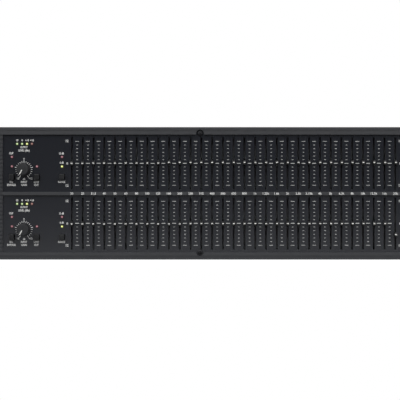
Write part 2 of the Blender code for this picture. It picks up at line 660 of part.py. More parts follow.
def make_rear_panel(parts, tools):
    """The rear plate with its cut-outs for connectors, inlet and switch."""
    shape = bmesh.new()
    low = (-CASE_SIDE, REAR_PLATE_FRONT, CASE_UNDER)
    block(shape, low, (CASE_SIDE, CASE_DEPTH, WALL_TOP))
    plate = put("rear_panel", shape, parts)
    holes = bmesh.new()
    front, back = REAR_PLATE_FRONT - OVER, CASE_DEPTH + OVER
    for name in XLR_COLUMNS:
        rod(holes, xlr_x(name), XLR_RISE, XLR_BODY_RADIUS + 2 * GAP, front, back, ROUND_SIDES)
        rod(holes, xlr_x(name), JACK_RISE, JACK_COLLAR_RADIUS + 2 * GAP, front, back)
    x = CASE_SIDE - INLET_COLUMN
    block(holes, *centred(x, INLET_RISE, INLET_WIDTH + 2 * GAP, INLET_HEIGHT + 2 * GAP, front, back))
    width, height = [size + 2 * GAP for size in rocker_body_size()]
    block(holes, *centred(CASE_SIDE - ROCKER_COLUMN, INLET_RISE, width, height, front, back))
    combine(plate, put("rear_holes", holes, tools), "DIFFERENCE")
    finish(plate, "case_coat", BLACK_COAT)
    return [plate]


def make_xlr(name, parts, tools):
    """A round connector with a square flange. An input has sockets in a core, an output has pins in a cup."""
    x, flange_front, face = xlr_x(name), CASE_DEPTH + GAP, CASE_DEPTH + GAP + XLR_FLANGE
    shape = bmesh.new()
    width = 2 * (XLR_BODY_RADIUS + XLR_FLANGE_ROOM_X)
    height = 2 * (XLR_BODY_RADIUS + XLR_FLANGE_ROOM_Z)
    block(shape, *centred(x, XLR_RISE, width, height, flange_front, face))
    upright = [e for e in shape.edges if abs(e.verts[0].co.y - e.verts[1].co.y) > XLR_FLANGE / 2]
    bmesh.ops.bevel(shape, geom=upright, offset=XLR_CORNER, segments=3, profile=0.5, affect="EDGES")
    body = put(f"xlr_{name}", shape, parts)
    barrel, joint = bmesh.new(), face - XLR_FLANGE / 2
    rod(barrel, x, XLR_RISE, XLR_BODY_RADIUS, joint - XLR_BODY_DEPTH, joint, ROUND_SIDES)
    combine(body, put(f"barrel_{name}", barrel, tools), "UNION")

    bore = bmesh.new()
    cup = XLR_BODY_RADIUS - XLR_WALL
    rod(bore, x, XLR_RISE, cup, face - XLR_CUP_DEPTH, face + OVER, ROUND_SIDES)
    combine(body, put(f"cup_{name}", bore, tools), "DIFFERENCE")
    pins = bmesh.new()
    is_input = name.startswith("input")
    bottom = face - XLR_CUP_DEPTH - SINK
    if is_input:
        core = bmesh.new()
        rod(core, x, XLR_RISE, cup - XLR_CORE_GROOVE, bottom, face - SINK, ROUND_SIDES)
        combine(body, put(f"core_{name}", core, tools), "UNION")
    start, end = bottom, bottom + SINK + XLR_PIN_LENGTH
    if is_input:
        start, end = face - XLR_PIN_LENGTH, face + OVER
    for third in range(3):
        turn = math.tau * third / 3
        pin_x, pin_z = x + XLR_PIN_CIRCLE * math.sin(turn), XLR_RISE - XLR_PIN_CIRCLE * math.cos(turn)
        rod(pins, pin_x, pin_z, XLR_PIN_RADIUS, start, end, PIN_SIDES)
    combine(body, put(f"pins_{name}", pins, tools), "DIFFERENCE" if is_input else "UNION")
    finish(body, "connector_shell", ZINC_PLATE)
    return [body]


def make_inlet(parts, tools):
    """The mains inlet: a flange, a body behind it, and three blades in its well."""
    x, face = CASE_SIDE - INLET_COLUMN, CASE_DEPTH + GAP + INLET_FLANGE
    shape = bmesh.new()
    block(shape, *centred(x, INLET_RISE, INLET_FLANGE_WIDTH, INLET_FLANGE_HEIGHT, CASE_DEPTH + GAP, face))
    body = put("mains_inlet", shape, parts)
    rear = bmesh.new()
    front = CASE_DEPTH - INLET_DEPTH
    block(rear, *centred(x, INLET_RISE, INLET_WIDTH, INLET_HEIGHT, front, face - INLET_FLANGE / 2))
    combine(body, put("inlet_body", rear, tools), "UNION")
    half_width, half_height = INLET_WIDTH / 2 - INLET_WALL, INLET_HEIGHT / 2 - INLET_WALL
    outline = [
        (-half_width, -half_height), (half_width, -half_height), (half_width, half_height - INLET_CORNER),
        (half_width - INLET_CORNER, half_height), (INLET_CORNER - half_width, half_height),
        (-half_width, half_height - INLET_CORNER),
    ]
    back = front + 2 * INLET_WALL
    depth = face + OVER - back
    upright = Matrix(((1.0, 0.0, 0.0, x), (0.0, 0.0, -1.0, back + depth / 2),
                      (0.0, 1.0, 0.0, INLET_RISE), (0.0, 0.0, 0.0, 1.0)))
    combine(body, prism("inlet_well", outline, depth, upright, tools), "DIFFERENCE")
    blades = bmesh.new()
    for column, rise in ((-BLADE_PITCH, -EARTH_RISE), (0.0, EARTH_RISE), (BLADE_PITCH, -EARTH_RISE)):
        place = x + column, INLET_RISE + rise
        block(blades, *centred(*place, BLADE_WIDTH, BLADE_HEIGHT, back - SINK, back + BLADE_LENGTH))
    combine(body, put("inlet_blades", blades, tools), "UNION")
    finish(body, "inlet_plastic", BLACK_PLASTIC)
    return [body]


def rocker_body_size():
    """Width and height of the power switch's housing where it goes through the rear plate."""
    extra = 2 * (ROCKER_ROOM + ROCKER_BODY_WALL)
    return ROCKER_WIDTH + extra, 2 * ROCKER_HALF_HEIGHT + extra


def make_power_switch(parts, tools):
    """The power switch: a housing with a bezel, and the rocker that tips in it about a crossways pin."""
    x, face = CASE_SIDE - ROCKER_COLUMN, CASE_DEPTH + GAP + BEZEL
    width, height = rocker_body_size()
    shape = bmesh.new()
    edge = 2 * BEZEL_EDGE
    block(shape, *centred(x, INLET_RISE, width + edge, height + edge, CASE_DEPTH + GAP, face))
    housing = put("power_switch_housing", shape, parts)
    rear = bmesh.new()
    block(rear, *centred(x, INLET_RISE, width, height, CASE_DEPTH - ROCKER_BODY_DEPTH, face - BEZEL / 2))
    combine(housing, put("switch_body", rear, tools), "UNION")
    well = bmesh.new()
    well_width, well_height = width - 2 * ROCKER_BODY_WALL, height - 2 * ROCKER_BODY_WALL
    well_back = CASE_DEPTH - ROCKER_BODY_DEPTH + ROCKER_BODY_WALL
    block(well, *centred(x, INLET_RISE, well_width, well_height, well_back, face + OVER))
    combine(housing, put("switch_well", well, tools), "DIFFERENCE")
    finish(housing, "switch_plastic", BLACK_PLASTIC)

    outline = [
        (ROCKER_CROWN, -ROCKER_HALF_HEIGHT), (ROCKER_DIP, 0.0), (ROCKER_CROWN, ROCKER_HALF_HEIGHT),
        (-ROCKER_BACK, ROCKER_HALF_HEIGHT - ROCKER_ROOM), (-ROCKER_KEEL, 0.0),
        (-ROCKER_BACK, ROCKER_ROOM - ROCKER_HALF_HEIGHT),
    ]
    upright = Matrix(((0.0, 0.0, 1.0, 0.0), (1.0, 0.0, 0.0, 0.0), (0.0, 1.0, 0.0, 0.0), (0.0, 0.0, 0.0, 1.0)))
    rocker = prism("power_rocker", outline, ROCKER_WIDTH, upright, parts)
    rocker.location = (x, face - BEZEL, INLET_RISE)
    rocker.rotation_euler = (-math.radians(ROCKER_TILT_DEG), 0.0, 0.0)
    finish(rocker, "rocker_plastic", BLACK_PLASTIC)
    return [housing, rocker]


def make_main_board(parts, tools):
    """The board on the tray's floor, with its chips, its posts, and four jacks that reach out of the rear."""
    columns = [xlr_x(name) for name in XLR_COLUMNS]
    left, right = min(columns) - MAIN_BOARD_MARGIN, max(columns) + MAIN_BOARD_MARGIN
    floor = CASE_UNDER + SHEET
    bottom, back = floor + MAIN_BOARD_LIFT, REAR_PLATE_FRONT - MAIN_BOARD_REAR_ROOM
    top = bottom + BOARD_THICKNESS
    front = back - MAIN_BOARD_DEPTH
    shape = bmesh.new()
    block(shape, (left, front, bottom), (right, back, top))
    board = put("main_board", shape, parts)
    bodies, collars, bores = bmesh.new(), bmesh.new(), bmesh.new()
    for x in columns:
        low = (x - JACK_WIDTH / 2, REAR_PLATE_FRONT - GAP - JACK_DEPTH, top - SINK)
        block(bodies, low, (x + JACK_WIDTH / 2, REAR_PLATE_FRONT - GAP, JACK_RISE + JACK_HEIGHT / 2))
        rod(collars, x, JACK_RISE, JACK_COLLAR_RADIUS, REAR_PLATE_FRONT - GAP - SINK, REAR_MOST)
        rod(bores, x, JACK_RISE, JACK_BORE_RADIUS, REAR_MOST - JACK_BORE_DEPTH, REAR_MOST + OVER)
    for row in range(CHIP_ROWS):
        for column in range(CHIP_COLUMNS):
            x, y = left + (column + 1) * CHIP_PITCH, front + CHIP_MARGIN + row * CHIP_PITCH
            low = (x - CHIP[0] / 2, y - CHIP[1] / 2, top - SINK)
            block(bodies, low, (x + CHIP[0] / 2, y + CHIP[1] / 2, top + CHIP[2]))
    for x in (left + POST_INSET, right - POST_INSET):
        for y in (front + POST_INSET, back - JACK_DEPTH - POST_INSET):
            post(bodies, x, y, POST_RADIUS, floor + GAP, bottom + SINK, PIN_SIDES)
    combine(board, put("main_board_bodies", bodies, tools), "UNION")
    combine(board, put("jack_collars", collars, tools), "UNION")
    combine(board, put("jack_bores", bores, tools), "DIFFERENCE")
    finish(board, "circuit_board", BOARD_GREEN)
    return [board]


def make_power_board(parts, tools):
    """The power supply's board: two smoothing capacitors and a finned heat sink on four posts."""
    x, y = CASE_SIDE - POWER_COLUMN, CASE_DEPTH - POWER_FROM_REAR
    floor = CASE_UNDER + SHEET
    bottom = floor + MAIN_BOARD_LIFT
    top = bottom + BOARD_THICKNESS
    half_x, half_y = POWER_BOARD[0] / 2, POWER_BOARD[1] / 2
    shape = bmesh.new()
    block(shape, (x - half_x, y - half_y, bottom), (x + half_x, y + half_y, top))
    board = put("power_board", shape, parts)
    bodies, fins = bmesh.new(), bmesh.new()
    for side in (-1, 1):
        place = x + side * half_x / 2, y + half_y / 2
        post(bodies, *place, SMOOTHING_RADIUS, top - SINK, top + SMOOTHING_HEIGHT)
        for end in (-1, 1):
            post(bodies, x + side * (half_x - POST_INSET), y + end * (half_y - POST_INSET),
                 POST_RADIUS, floor + GAP, bottom + SINK, PIN_SIDES)
    sink_y = y - half_y + SINK_DEPTH / 2 + POST_INSET
    width = (SINK_FINS - 1) * SINK_FIN_PITCH + SINK_FIN
    block(bodies, (x - width / 2, sink_y, top - SINK), (x + width / 2, sink_y + SINK_BACK, top + SINK_HEIGHT))
    for i in range(SINK_FINS):
        fin_x = x + (i - (SINK_FINS - 1) / 2) * SINK_FIN_PITCH
        low = (fin_x - SINK_FIN / 2, sink_y + SINK_BACK - SINK, top - SINK / 2)
        block(fins, low, (fin_x + SINK_FIN / 2, sink_y + SINK_DEPTH, top + SINK_HEIGHT - SINK))
    combine(board, put("power_bodies", bodies, tools), "UNION")
    combine(board, put("heat_sink_fins", fins, tools), "UNION")
    finish(board, "circuit_board", BOARD_GREEN)
    return [board]


def make_transformer(parts, tools):
    """The toroidal transformer: its wound ring on a hub, under a clamping plate."""
    x, y = CASE_SIDE - CORE_COLUMN, CASE_DEPTH - CORE_FROM_REAR
    bottom = CASE_UNDER + SHEET + GAP
    top = bottom + 2 * CORE_TUBE
    bpy.ops.mesh.primitive_torus_add(
        major_segments=20, minor_segments=8, major_radius=CORE_RADIUS, minor_radius=CORE_TUBE,
        location=(x, y, bottom + CORE_TUBE),
    )
    ring = bpy.context.object
    ring.name = ring.data.name = "transformer"
    for collection in list(ring.users_collection):
        collection.objects.unlink(ring)
    parts.objects.link(ring)
    hub, plate = bmesh.new(), bmesh.new()
    post(hub, x, y, CORE_HUB_RADIUS, bottom, top)
    post(plate, x, y, CORE_PLATE_RADIUS, top - SINK, top + CORE_PLATE, ROUND_SIDES)
    combine(ring, put("transformer_hub", hub, tools), "UNION")
    combine(ring, put("transformer_plate", plate, tools), "UNION")
    finish(ring, "winding_varnish", VARNISHED_COPPER)
    return [ring]


def main():
    """Clears the scene, makes every part, and stands them on the origin."""
    for thing in list(bpy.data.objects):
        bpy.data.objects.remove(thing)
    parts = new_collection("graphic_equalizer")
    tools = new_collection("cutters")
    made = make_front_panel(parts, tools) + make_faders(parts, tools) + make_knobs(parts)
    made += make_buttons(parts, tools) + make_fader_boards(parts, tools) + make_control_board(parts, tools)
    made += make_case(parts, tools) + make_rear_panel(parts, tools)
    for name in XLR_COLUMNS:
        made += make_xlr(name, parts, tools)
    made += make_inlet(parts, tools) + make_power_switch(parts, tools) + make_main_board(parts, tools)
    made += make_power_board(parts, tools) + make_transformer(parts, tools)

    root = bpy.data.objects.new("root", None)
    parts.objects.link(root)
    for thing in made + list(tools.objects):
        thing.parent = root
    root.location = (0.0, -(FRONT_MOST + REAR_MOST) / 2, 0.0)


main()
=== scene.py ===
"""The looks of a two-channel graphic equalizer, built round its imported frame.

Every length is in metres, written as a number of millimetres times MM. The front faces -Y, +X is to
the right as seen from the front, and +Z is up.
"""

import json
import logging
import math
from collections.abc import Callable, Sequence
from dataclasses import dataclass
from enum import Enum
from functools import cache, partial

import bmesh
import bpy
from mathutils import Matrix, Vector


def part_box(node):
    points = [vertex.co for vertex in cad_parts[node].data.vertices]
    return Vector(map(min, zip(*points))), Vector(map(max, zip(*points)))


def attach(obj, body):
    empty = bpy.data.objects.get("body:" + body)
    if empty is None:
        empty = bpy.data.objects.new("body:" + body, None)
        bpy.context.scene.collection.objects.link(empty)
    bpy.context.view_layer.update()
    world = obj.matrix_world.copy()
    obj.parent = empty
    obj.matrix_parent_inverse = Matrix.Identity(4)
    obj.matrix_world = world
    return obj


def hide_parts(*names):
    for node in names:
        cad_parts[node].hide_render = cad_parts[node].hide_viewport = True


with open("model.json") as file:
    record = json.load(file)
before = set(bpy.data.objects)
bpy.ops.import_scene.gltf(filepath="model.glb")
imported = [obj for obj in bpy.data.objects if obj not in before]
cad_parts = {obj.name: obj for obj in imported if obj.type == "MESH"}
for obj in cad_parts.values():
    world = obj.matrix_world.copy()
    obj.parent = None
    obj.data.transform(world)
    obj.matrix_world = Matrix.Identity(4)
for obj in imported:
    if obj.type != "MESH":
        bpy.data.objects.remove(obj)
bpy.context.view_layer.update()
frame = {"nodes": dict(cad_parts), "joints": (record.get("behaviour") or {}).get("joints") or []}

MM = 0.001
INK = 0.05 * MM             # how far print stands proud of its face
SUNK = 0.03 * MM            # how far print reaches into it
CAPITALS = 0.682            # height of a capital letter in a font of size 1
CHANNELS = (1, 2)
BANDS = (
    "20", "25", "31_5", "40", "50", "63", "80", "100", "125", "160", "200", "250", "315", "400", "500", "630",
    "800", "1k", "1k25", "1k6", "2k", "2k5", "3k15", "4k", "5k", "6k3", "8k", "10k", "12k5", "16k", "20k",
)
COMBS = {"low": (0, 10), "mid": (10, 20), "high": (20, 30)}

report = logging.getLogger("equalizer")

Node = bpy.types.Node
Object = bpy.types.Object
Material = bpy.types.Material
Profile = Sequence[tuple[float, float]]
Shaping = Callable[[float, float, float], float]    # a radius from a point's own radius, height and angle


def linear(colour: str) -> tuple[float, float, float, float]:
    """Turns an sRGB colour into the linear one that shaders take.

    Args:
        colour: Six hex digits, red first.

    Returns:
        Red, green, blue and an alpha of one.
    """
    channels = [int(colour[i:i + 2], 16) / 255 for i in (0, 2, 4)]
    red, green, blue = [c / 12.92 if c <= 0.04045 else ((c + 0.055) / 1.055) ** 2.4 for c in channels]
    return red, green, blue, 1.0


def add_node(
    tree: bpy.types.NodeTree, kind: str, settings: dict | None = None, links: dict | None = None,
) -> Node:
    """Adds a node with its settings and links.

    Args:
        tree: The node tree that takes it.
        kind: Blender's name for the type of node.
        settings: Values by the name or number of an input, or by the name of a property.
        links: Output sockets by the name or number of the input that they feed.

    Returns:
        The new node.
    """
    node = tree.nodes.new(kind)
    for key, value in (settings or {}).items():
        if isinstance(key, int) or key in node.inputs:
            node.inputs[key].default_value = value
        else:
            setattr(node, key, value)
    for key, socket in (links or {}).items():
        tree.links.new(socket, node.inputs[key])
    return node


class Grain(Enum):
    """How a surface was made, which sets its pattern: the stretch of its noise along X, Y and Z."""

    PEEL = (1.0, 1.0, 1.0)
    SPARK = (1.3, 1.3, 1.3)
    PLATED = (0.6, 0.6, 0.6)
    WOUND = (1.0, 1.0, 0.05)
    TRACES = (1.0, 0.5, 0.2)


@dataclass(frozen=True)
class Finish:
    """A surface finish: what it is, how it was made, and what that does to light."""

    name: str
    grain: Grain
    colour: str
    fleck: str
    roughness: float
    size: float
    relief: float
    metallic: float = 0.0
    ior: float = 1.5
    level: float = 0.5
    uneven: float = 0.06

    @cache
    def material(self) -> Material:
        """Builds the finish's material the first time it is asked for.

        Returns:
            The material, with mottled colour, uneven roughness and fine relief.
        """
        made = bpy.data.materials.new(self.name)
        made.use_nodes = True
        tree = made.node_tree
        tree.nodes.clear()
        spot = add_node(tree, "ShaderNodeTexCoord")
        stretch = tuple(part / self.size for part in self.grain.value)
        grid = add_node(tree, "ShaderNodeMapping", {"Scale": stretch}, {"Vector": spot.outputs["Object"]})
        fine = add_node(tree, "ShaderNodeTexNoise", {"Scale": 1.0, "Detail": 3.0, "Roughness": 0.6},
                        {"Vector": grid.outputs[0]})
        broad = add_node(tree, "ShaderNodeTexNoise", {"Scale": 0.12, "Detail": 2.0},
                         {"Vector": grid.outputs[0]})
        share = add_node(tree, "ShaderNodeMapRange", {"From Min": 0.35, "From Max": 0.65},
                         {"Value": fine.outputs["Fac"]})
        colour = add_node(
            tree, "ShaderNodeMix", {"data_type": "RGBA", 6: linear(self.colour), 7: linear(self.fleck)},
            {0: share.outputs[0]},
        )
        gloss = add_node(
            tree, "ShaderNodeMapRange",
            {"From Min": 0.3, "From Max": 0.7, "To Min": self.roughness - self.uneven,
             "To Max": self.roughness + self.uneven},
            {"Value": broad.outputs["Fac"]},
        )
        bump = add_node(tree, "ShaderNodeBump", {"Strength": 1.0, "Distance": self.relief},
                        {"Height": fine.outputs["Fac"]})
        settings = {"Metallic": self.metallic, "Specular IOR Level": self.level}
        if not self.metallic:
            settings["IOR"] = self.ior
        shader = add_node(
            tree, "ShaderNodeBsdfPrincipled", settings,
            {"Base Color": colour.outputs[2], "Roughness": gloss.outputs[0], "Normal": bump.outputs[0]},
        )
        add_node(tree, "ShaderNodeOutputMaterial", {}, {"Surface": shader.outputs[0]})
        return made


@dataclass(frozen=True)
class LampFinish:
    """A tinted epoxy lens, paler at its middle than at its rim: over a lit die that is the lamp's own glow,
    and on an unlit lens it is a painted highlight.
    """

    name: str
    rim: str
    core: str
    glow: float
    roughness: float = 0.25
    ior: float = 1.55

    @cache
    def material(self) -> Material:
        """Builds the lens material the first time it is asked for.

        Returns:
            The material. It reads each point's "core" attribute, one at the middle and zero at the rim.
        """
        made = bpy.data.materials.new(self.name)
        made.use_nodes = True
        tree = made.node_tree
        tree.nodes.clear()
        core = add_node(tree, "ShaderNodeAttribute", {"attribute_name": "core"})
        colour = add_node(
            tree, "ShaderNodeMix", {"data_type": "RGBA", 6: linear(self.rim), 7: linear(self.core)},
            {0: core.outputs["Fac"]},
        )
        shader = add_node(
            tree, "ShaderNodeBsdfPrincipled",
            {"Roughness": self.roughness, "IOR": self.ior, "Emission Strength": self.glow},
            {"Base Color": colour.outputs[2], "Emission Color": colour.outputs[2]},
        )
        add_node(tree, "ShaderNodeOutputMaterial", {}, {"Surface": shader.outputs[0]})
        return made


# Polyester powder coat on the extruded panel: a fine orange peel that breaks up highlights
PANEL_COAT = Finish("panel_powder_coat", Grain.PEEL, "37383b", "3d3e41", 0.5, 0.5 * MM, 0.012 * MM)
# Screen-printed polycarbonate film in the recesses: nearly black, and smooth enough to mirror a low light
RECESS_FILM = Finish("recess_film", Grain.SPARK, "1c1e24", "212329", 0.22, 0.3 * MM, 0.001 * MM, uneven=0.02)
# Powder coat on the folded steel case: a coarser peel than the panel's
CASE_COAT = Finish("case_powder_coat", Grain.PEEL, "242528", "2b2c2f", 0.55, 0.8 * MM, 0.02 * MM, uneven=0.02)
# Glass-filled nylon fader tips: spark-eroded and matt, so only their edges catch light
FADER_NYLON = Finish("fader_nylon", Grain.SPARK, "131315", "1a1a1c", 0.5, 0.2 * MM, 0.01 * MM, ior=1.53)
# Thermoplastic rubber knobs: soft, dusty sheen at the flutes
KNOB_RUBBER = Finish("knob_rubber", Grain.SPARK, "1b1c1f", "222326", 0.6, 0.25 * MM, 0.01 * MM, ior=1.52)
# Moulded ABS for buttons, inserts and the switch: satin with a very light grain
BLACK_ABS = Finish("black_abs", Grain.SPARK, "101113", "161719", 0.38, 0.3 * MM, 0.006 * MM, ior=1.54)
# Epoxy screen ink: opaque, flat and a little uneven where the mesh let it through
WHITE_INK = Finish("white_ink", Grain.SPARK, "dcdcda", "e8e8e6", 0.6, 0.15 * MM, 0.002 * MM)
# Moulded white polystyrene let into the fader tips and knobs as index lines
INDEX_WHITE = Finish("index_white", Grain.SPARK, "f0f0ec", "e6e6e2", 0.45, 0.3 * MM, 0.002 * MM)
# Black-oxide steel screws: dark, oily and slightly glossy at the edges
BLACK_OXIDE = Finish(
    "black_oxide_steel", Grain.PLATED, "2a2a2d", "323236", 0.4, 0.4 * MM, 0.004 * MM, metallic=0.6,
)
# Nickel over die-cast zinc: bright with the soft ripple of a tumbled casting
NICKEL = Finish(
    "nickel_plate", Grain.PLATED, "b9b6ae", "c0bdb6", 0.26, 1.5 * MM, 0.0015 * MM, metallic=1.0, uneven=0.03,
)
# Hard gold flash on the connector contacts
GOLD = Finish("gold_flash", Grain.PLATED, "d9b35c", "e2c06e", 0.25, 0.5 * MM, 0.002 * MM, metallic=1.0)
# Glass-epoxy board under green solder mask, with the tracks showing as lighter streaks
SOLDER_MASK = Finish("solder_mask", Grain.TRACES, "123a22", "1d5a34", 0.35, 1.2 * MM, 0.02 * MM)
# Epoxy, phenolic and anodised bodies of the chips and other parts on the boards
PART_BLACK = Finish("component_black", Grain.SPARK, "1c1c1e", "242427", 0.5, 0.4 * MM, 0.01 * MM)
# Phosphated steel cans of the slide potentiometers: the pale grey that lifts the bottom of each slot
POT_STEEL = Finish("phosphated_steel", Grain.PLATED, "858789", "919395", 0.6, 0.5 * MM, 0.008 * MM)
# Varnished polyester tape round the transformer's winding: amber, in overlapping turns
WINDING_TAPE = Finish("winding_tape", Grain.WOUND, "8a4a16", "a86224", 0.35, 2.4 * MM, 0.12 * MM)

GREEN_LIT = LampFinish("lamp_green_lit", "2c4410", "d3e3ae", 0.5)
YELLOW_LIT = LampFinish("lamp_yellow_lit", "4c5004", "f4f8a4", 0.6)
# Partly its own dim glow and partly painted highlight: the pale pink middle of this red lamp stands in part
# for a reflected highlight
RED_DIM = LampFinish("lamp_red_dim", "40181c", "b08a80", 0.15)
# Painted highlight and painted glow: the unlit lens's pale pink middle stands for a reflected highlight, and
# its faint emission lights a lamp that is off
RED_OFF = LampFinish("lamp_red_unlit", "4c141e", "cc949c", 0.08)


class Side(Enum):
    """A face of the object that carries print or fasteners, by the turn from its own axes.

    On each face the maker works with x to the reader's right, y up and z out of the face.
    """

    FRONT = (90.0, 0.0)
    REAR = (90.0, 180.0)
    TOP = (0.0, 0.0)
    LEFT = (90.0, -90.0)
    RIGHT = (90.0, 90.0)

    def place(self, x: float, y: float, z: float) -> Matrix:
        """Puts the face's own axes at a point.

        Args:
            x: Across the object.
            y: From front to rear.
            z: Up.

        Returns:
            The matrix that carries a shape from the face's axes to the object's.
        """
        tip, turn = [math.radians(angle) for angle in self.value]
        return Matrix.Translation((x, y, z)) @ Matrix.Rotation(turn, 4, "Z") @ Matrix.Rotation(tip, 4, "X")


class Blank:
    """A mesh under construction, made of closed shapes."""

    def __init__(self) -> None:
        """Starts with nothing."""
        self.mesh = bmesh.new()
        self.core = self.mesh.verts.layers.float.new("core")

    def box(self, low: Sequence[float], high: Sequence[float], place: Matrix, round_off: float = 0.0) -> None:
        """Adds a box, with rounded edges if asked.

        Args:
            low: Its lowest corner, in the axes of place.
            high: Its highest corner.
            place: Where those axes are.
            round_off: Radius of its edges.
        """
        size = [b - a for a, b in zip(low, high)]
        middle = [(a + b) / 2 for a, b in zip(low, high)]
        matrix = place @ Matrix.Translation(middle) @ Matrix.Diagonal((*size, 1.0))
        corners = bmesh.ops.create_cube(self.mesh, size=1.0, matrix=matrix)["verts"]
        if round_off:
            edges = list({edge for corner in corners for edge in corner.link_edges})
            bmesh.ops.bevel(self.mesh, geom=edges, offset=round_off, segments=3, profile=0.5, affect="EDGES")

    def turned(
        self, profile: Profile, place: Matrix, sides: int = 48, ring: bool = False,
        radius: Shaping | None = None,
    ) -> list[bmesh.types.BMVert]:
        """Adds a shape turned about the z axis of place.

        Args:
            profile: Radius and height of each point, from the top down the outer side.
            place: Where the axis is.
            sides: Steps round the axis.
            ring: Whether the profile closes on itself, away from the axis.
            radius: Gives the radius at a point from its own radius, height and angle, for flutes and flats.

        Returns:
            The new vertices.
        """
        rows: list[list[bmesh.types.BMVert]] = []
        for reach, height in profile:
            steps = sides if reach > 0.0 else 1
            row = []
            for step in range(steps):
                angle = math.tau * step / sides
                out = radius(reach, height, angle) if radius and reach > 0.0 else reach
                spot = Vector((out * math.cos(angle), out * math.sin(angle), height))
                row.append(self.mesh.verts.new(place @ spot))
            rows.append(row)
        pairs = list(zip(rows, rows[1:]))
        if ring:
            pairs.append((rows[-1], rows[0]))
        for upper, lower in pairs:
            for step in range(sides):
                following = (step + 1) % sides
                corners = [upper[step % len(upper)], lower[step % len(lower)],
                           lower[following % len(lower)], upper[following % len(upper)]]
                self.mesh.faces.new(list(dict.fromkeys(corners)))
        return [vertex for row in rows for vertex in row]

    def insert(self, mesh: bpy.types.Mesh, place: Matrix) -> None:
        """Adds a finished mesh, which is then thrown away.

        Args:
            mesh: The mesh.
            place: Where its axes go.
        """
        mesh.transform(place)
        self.mesh.from_mesh(mesh)
        bpy.data.meshes.remove(mesh)

    def piece(
        self, name: str, finish: Finish | LampFinish, body: str, slot: str, sharp: float = 35.0,
        replaces: Sequence[str] = (),
    ) -> Object:
        """Turns the blank into a piece of the object.

        Args:
            name: The piece's name.
            finish: Its finish.
            body: The CAD body that it moves with.
            slot: The record's material slot that it stands for; not used.
            sharp: Edges that turn by more degrees than this stay sharp.
            replaces: CAD nodes that it stands for.

        Returns:
            The finished object.
        """
        bmesh.ops.remove_doubles(self.mesh, verts=self.mesh.verts, dist=0.0005 * MM)
        bmesh.ops.recalc_face_normals(self.mesh, faces=self.mesh.faces)
        mesh = bpy.data.meshes.new(name)
        self.mesh.to_mesh(mesh)
        self.mesh.free()
        mesh.shade_smooth()
        mesh.set_sharp_from_angle(angle=math.radians(sharp))
        mesh.materials.append(finish.material())
        made = bpy.data.objects.new(name, mesh)
        bpy.context.scene.collection.objects.link(made)
        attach(made, body)
        if replaces:
            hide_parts(*replaces)
        return made


def rounded_rectangle(half_x: float, half_y: float, corner: float, angle: float) -> float:
    """Finds how far a rectangle with rounded corners reaches in one direction.

    Args:
        half_x: Half its width.
        half_y: Half its height.
        corner: Radius of its corners.
        angle: The direction.

    Returns:
        The distance from its middle to its outline.
    """
    along = Vector((abs(math.cos(angle)), abs(math.sin(angle))))
    reach = min(half_x / max(along.x, 1e-9), half_y / max(along.y, 1e-9))
    centre = Vector((half_x - corner, half_y - corner))
    spot = along * reach
    if spot.x > centre.x and spot.y > centre.y:
        share = along.dot(centre)
        reach = share + math.sqrt(share ** 2 - centre.length_squared + corner ** 2)
    return reach


def carved(target: Object, cutter: Blank) -> None:
    """Cuts a blank's shapes out of a piece, and throws the blank away.

    Args:
        target: The piece that is cut.
        cutter: The shapes to take out of it.
    """
    mesh = bpy.data.meshes.new("cutter")
    bmesh.ops.recalc_face_normals(cutter.mesh, faces=cutter.mesh.faces)
    cutter.mesh.to_mesh(mesh)
    cutter.mesh.free()
    tool = bpy.data.objects.new("cutter", mesh)
    bpy.context.scene.collection.objects.link(tool)
    cut = target.modifiers.new("cut", "BOOLEAN")
    cut.operation = "DIFFERENCE"
    cut.object = tool
    state = bpy.context.evaluated_depsgraph_get()
    result = bpy.data.meshes.new_from_object(target.evaluated_get(state))
    target.modifiers.clear()
    old = target.data
    target.data = result
    bpy.data.meshes.remove(old)
    bpy.data.objects.remove(tool)
    bpy.data.meshes.remove(mesh)


def letters(words: str, height: float, width: float, weight: float) -> bpy.types.Mesh:
    """Makes a line of lettering about its own middle.

    Args:
        words: What it says.
        height: Height of its capitals.
        width: Width of the whole line, or zero for the letters' own width.
        weight: How much each stroke is thickened, as a share of the height.

    Returns:
        A thin closed mesh that faces +Z.
    """
    curve = bpy.data.curves.new("letters", "FONT")
    curve.body = words
    curve.size = height / CAPITALS
    curve.offset = weight * height
    curve.extrude = (INK + SUNK) / 2
    curve.resolution_u = 2
    guide = bpy.data.objects.new("letters", curve)
    bpy.context.scene.collection.objects.link(guide)
    state = bpy.context.evaluated_depsgraph_get()
    mesh = bpy.data.meshes.new_from_object(guide.evaluated_get(state))
    bpy.data.objects.remove(guide)
    bpy.data.curves.remove(curve)
    across = [vertex.co.x for vertex in mesh.vertices]
    natural = max(across) - min(across)
    stretch = width / natural if width else 1.0
    mesh.transform(Matrix.Diagonal((stretch, 1.0, 1.0, 1.0))
                   @ Matrix.Translation((-(max(across) + min(across)) / 2, -height / 2, (INK - SUNK) / 2)))
    return mesh


class Print:
    """Ink laid on one face of the object."""

    def __init__(self, side: Side, level: float) -> None:
        """Takes the face.

        Args:
            side: Which face it is.
            level: Where it lies from front to rear.
        """
        self.side = side
        self.level = level
        self.blank = Blank()

    def words(
        self, text: str, x: float, z: float, height: float, width: float = 0.0, weight: float = 0.035,
    ) -> None:
        """Prints a line of lettering about a point, as letters() makes it."""
        self.blank.insert(letters(text, height, width, weight), self.side.place(x, self.level, z))

    def bar(
        self, x: float, z: float, width: float, height: float, turn: float = 0.0, rise: float = 0.0,
    ) -> None:
        """Prints a bar about a point.

        Args:
            x: The point across the object.
            z: The point's height.
            width: The bar's width.
            height: The bar's height.
            turn: Clockwise turn about the point, in degrees.
            rise: How far the bar's middle lies from the point, along its turned height.
        """
        place = self.side.place(x, self.level, z) @ Matrix.Rotation(-math.radians(turn), 4, "Z")
        self.blank.box((-width / 2, rise - height / 2, -SUNK), (width / 2, rise + height / 2, INK), place)

    def piece(self, name: str) -> Object:
        """Turns the print into a piece that rides on the panel or case."""
        return self.blank.piece(name, WHITE_INK, "root", "print_white")


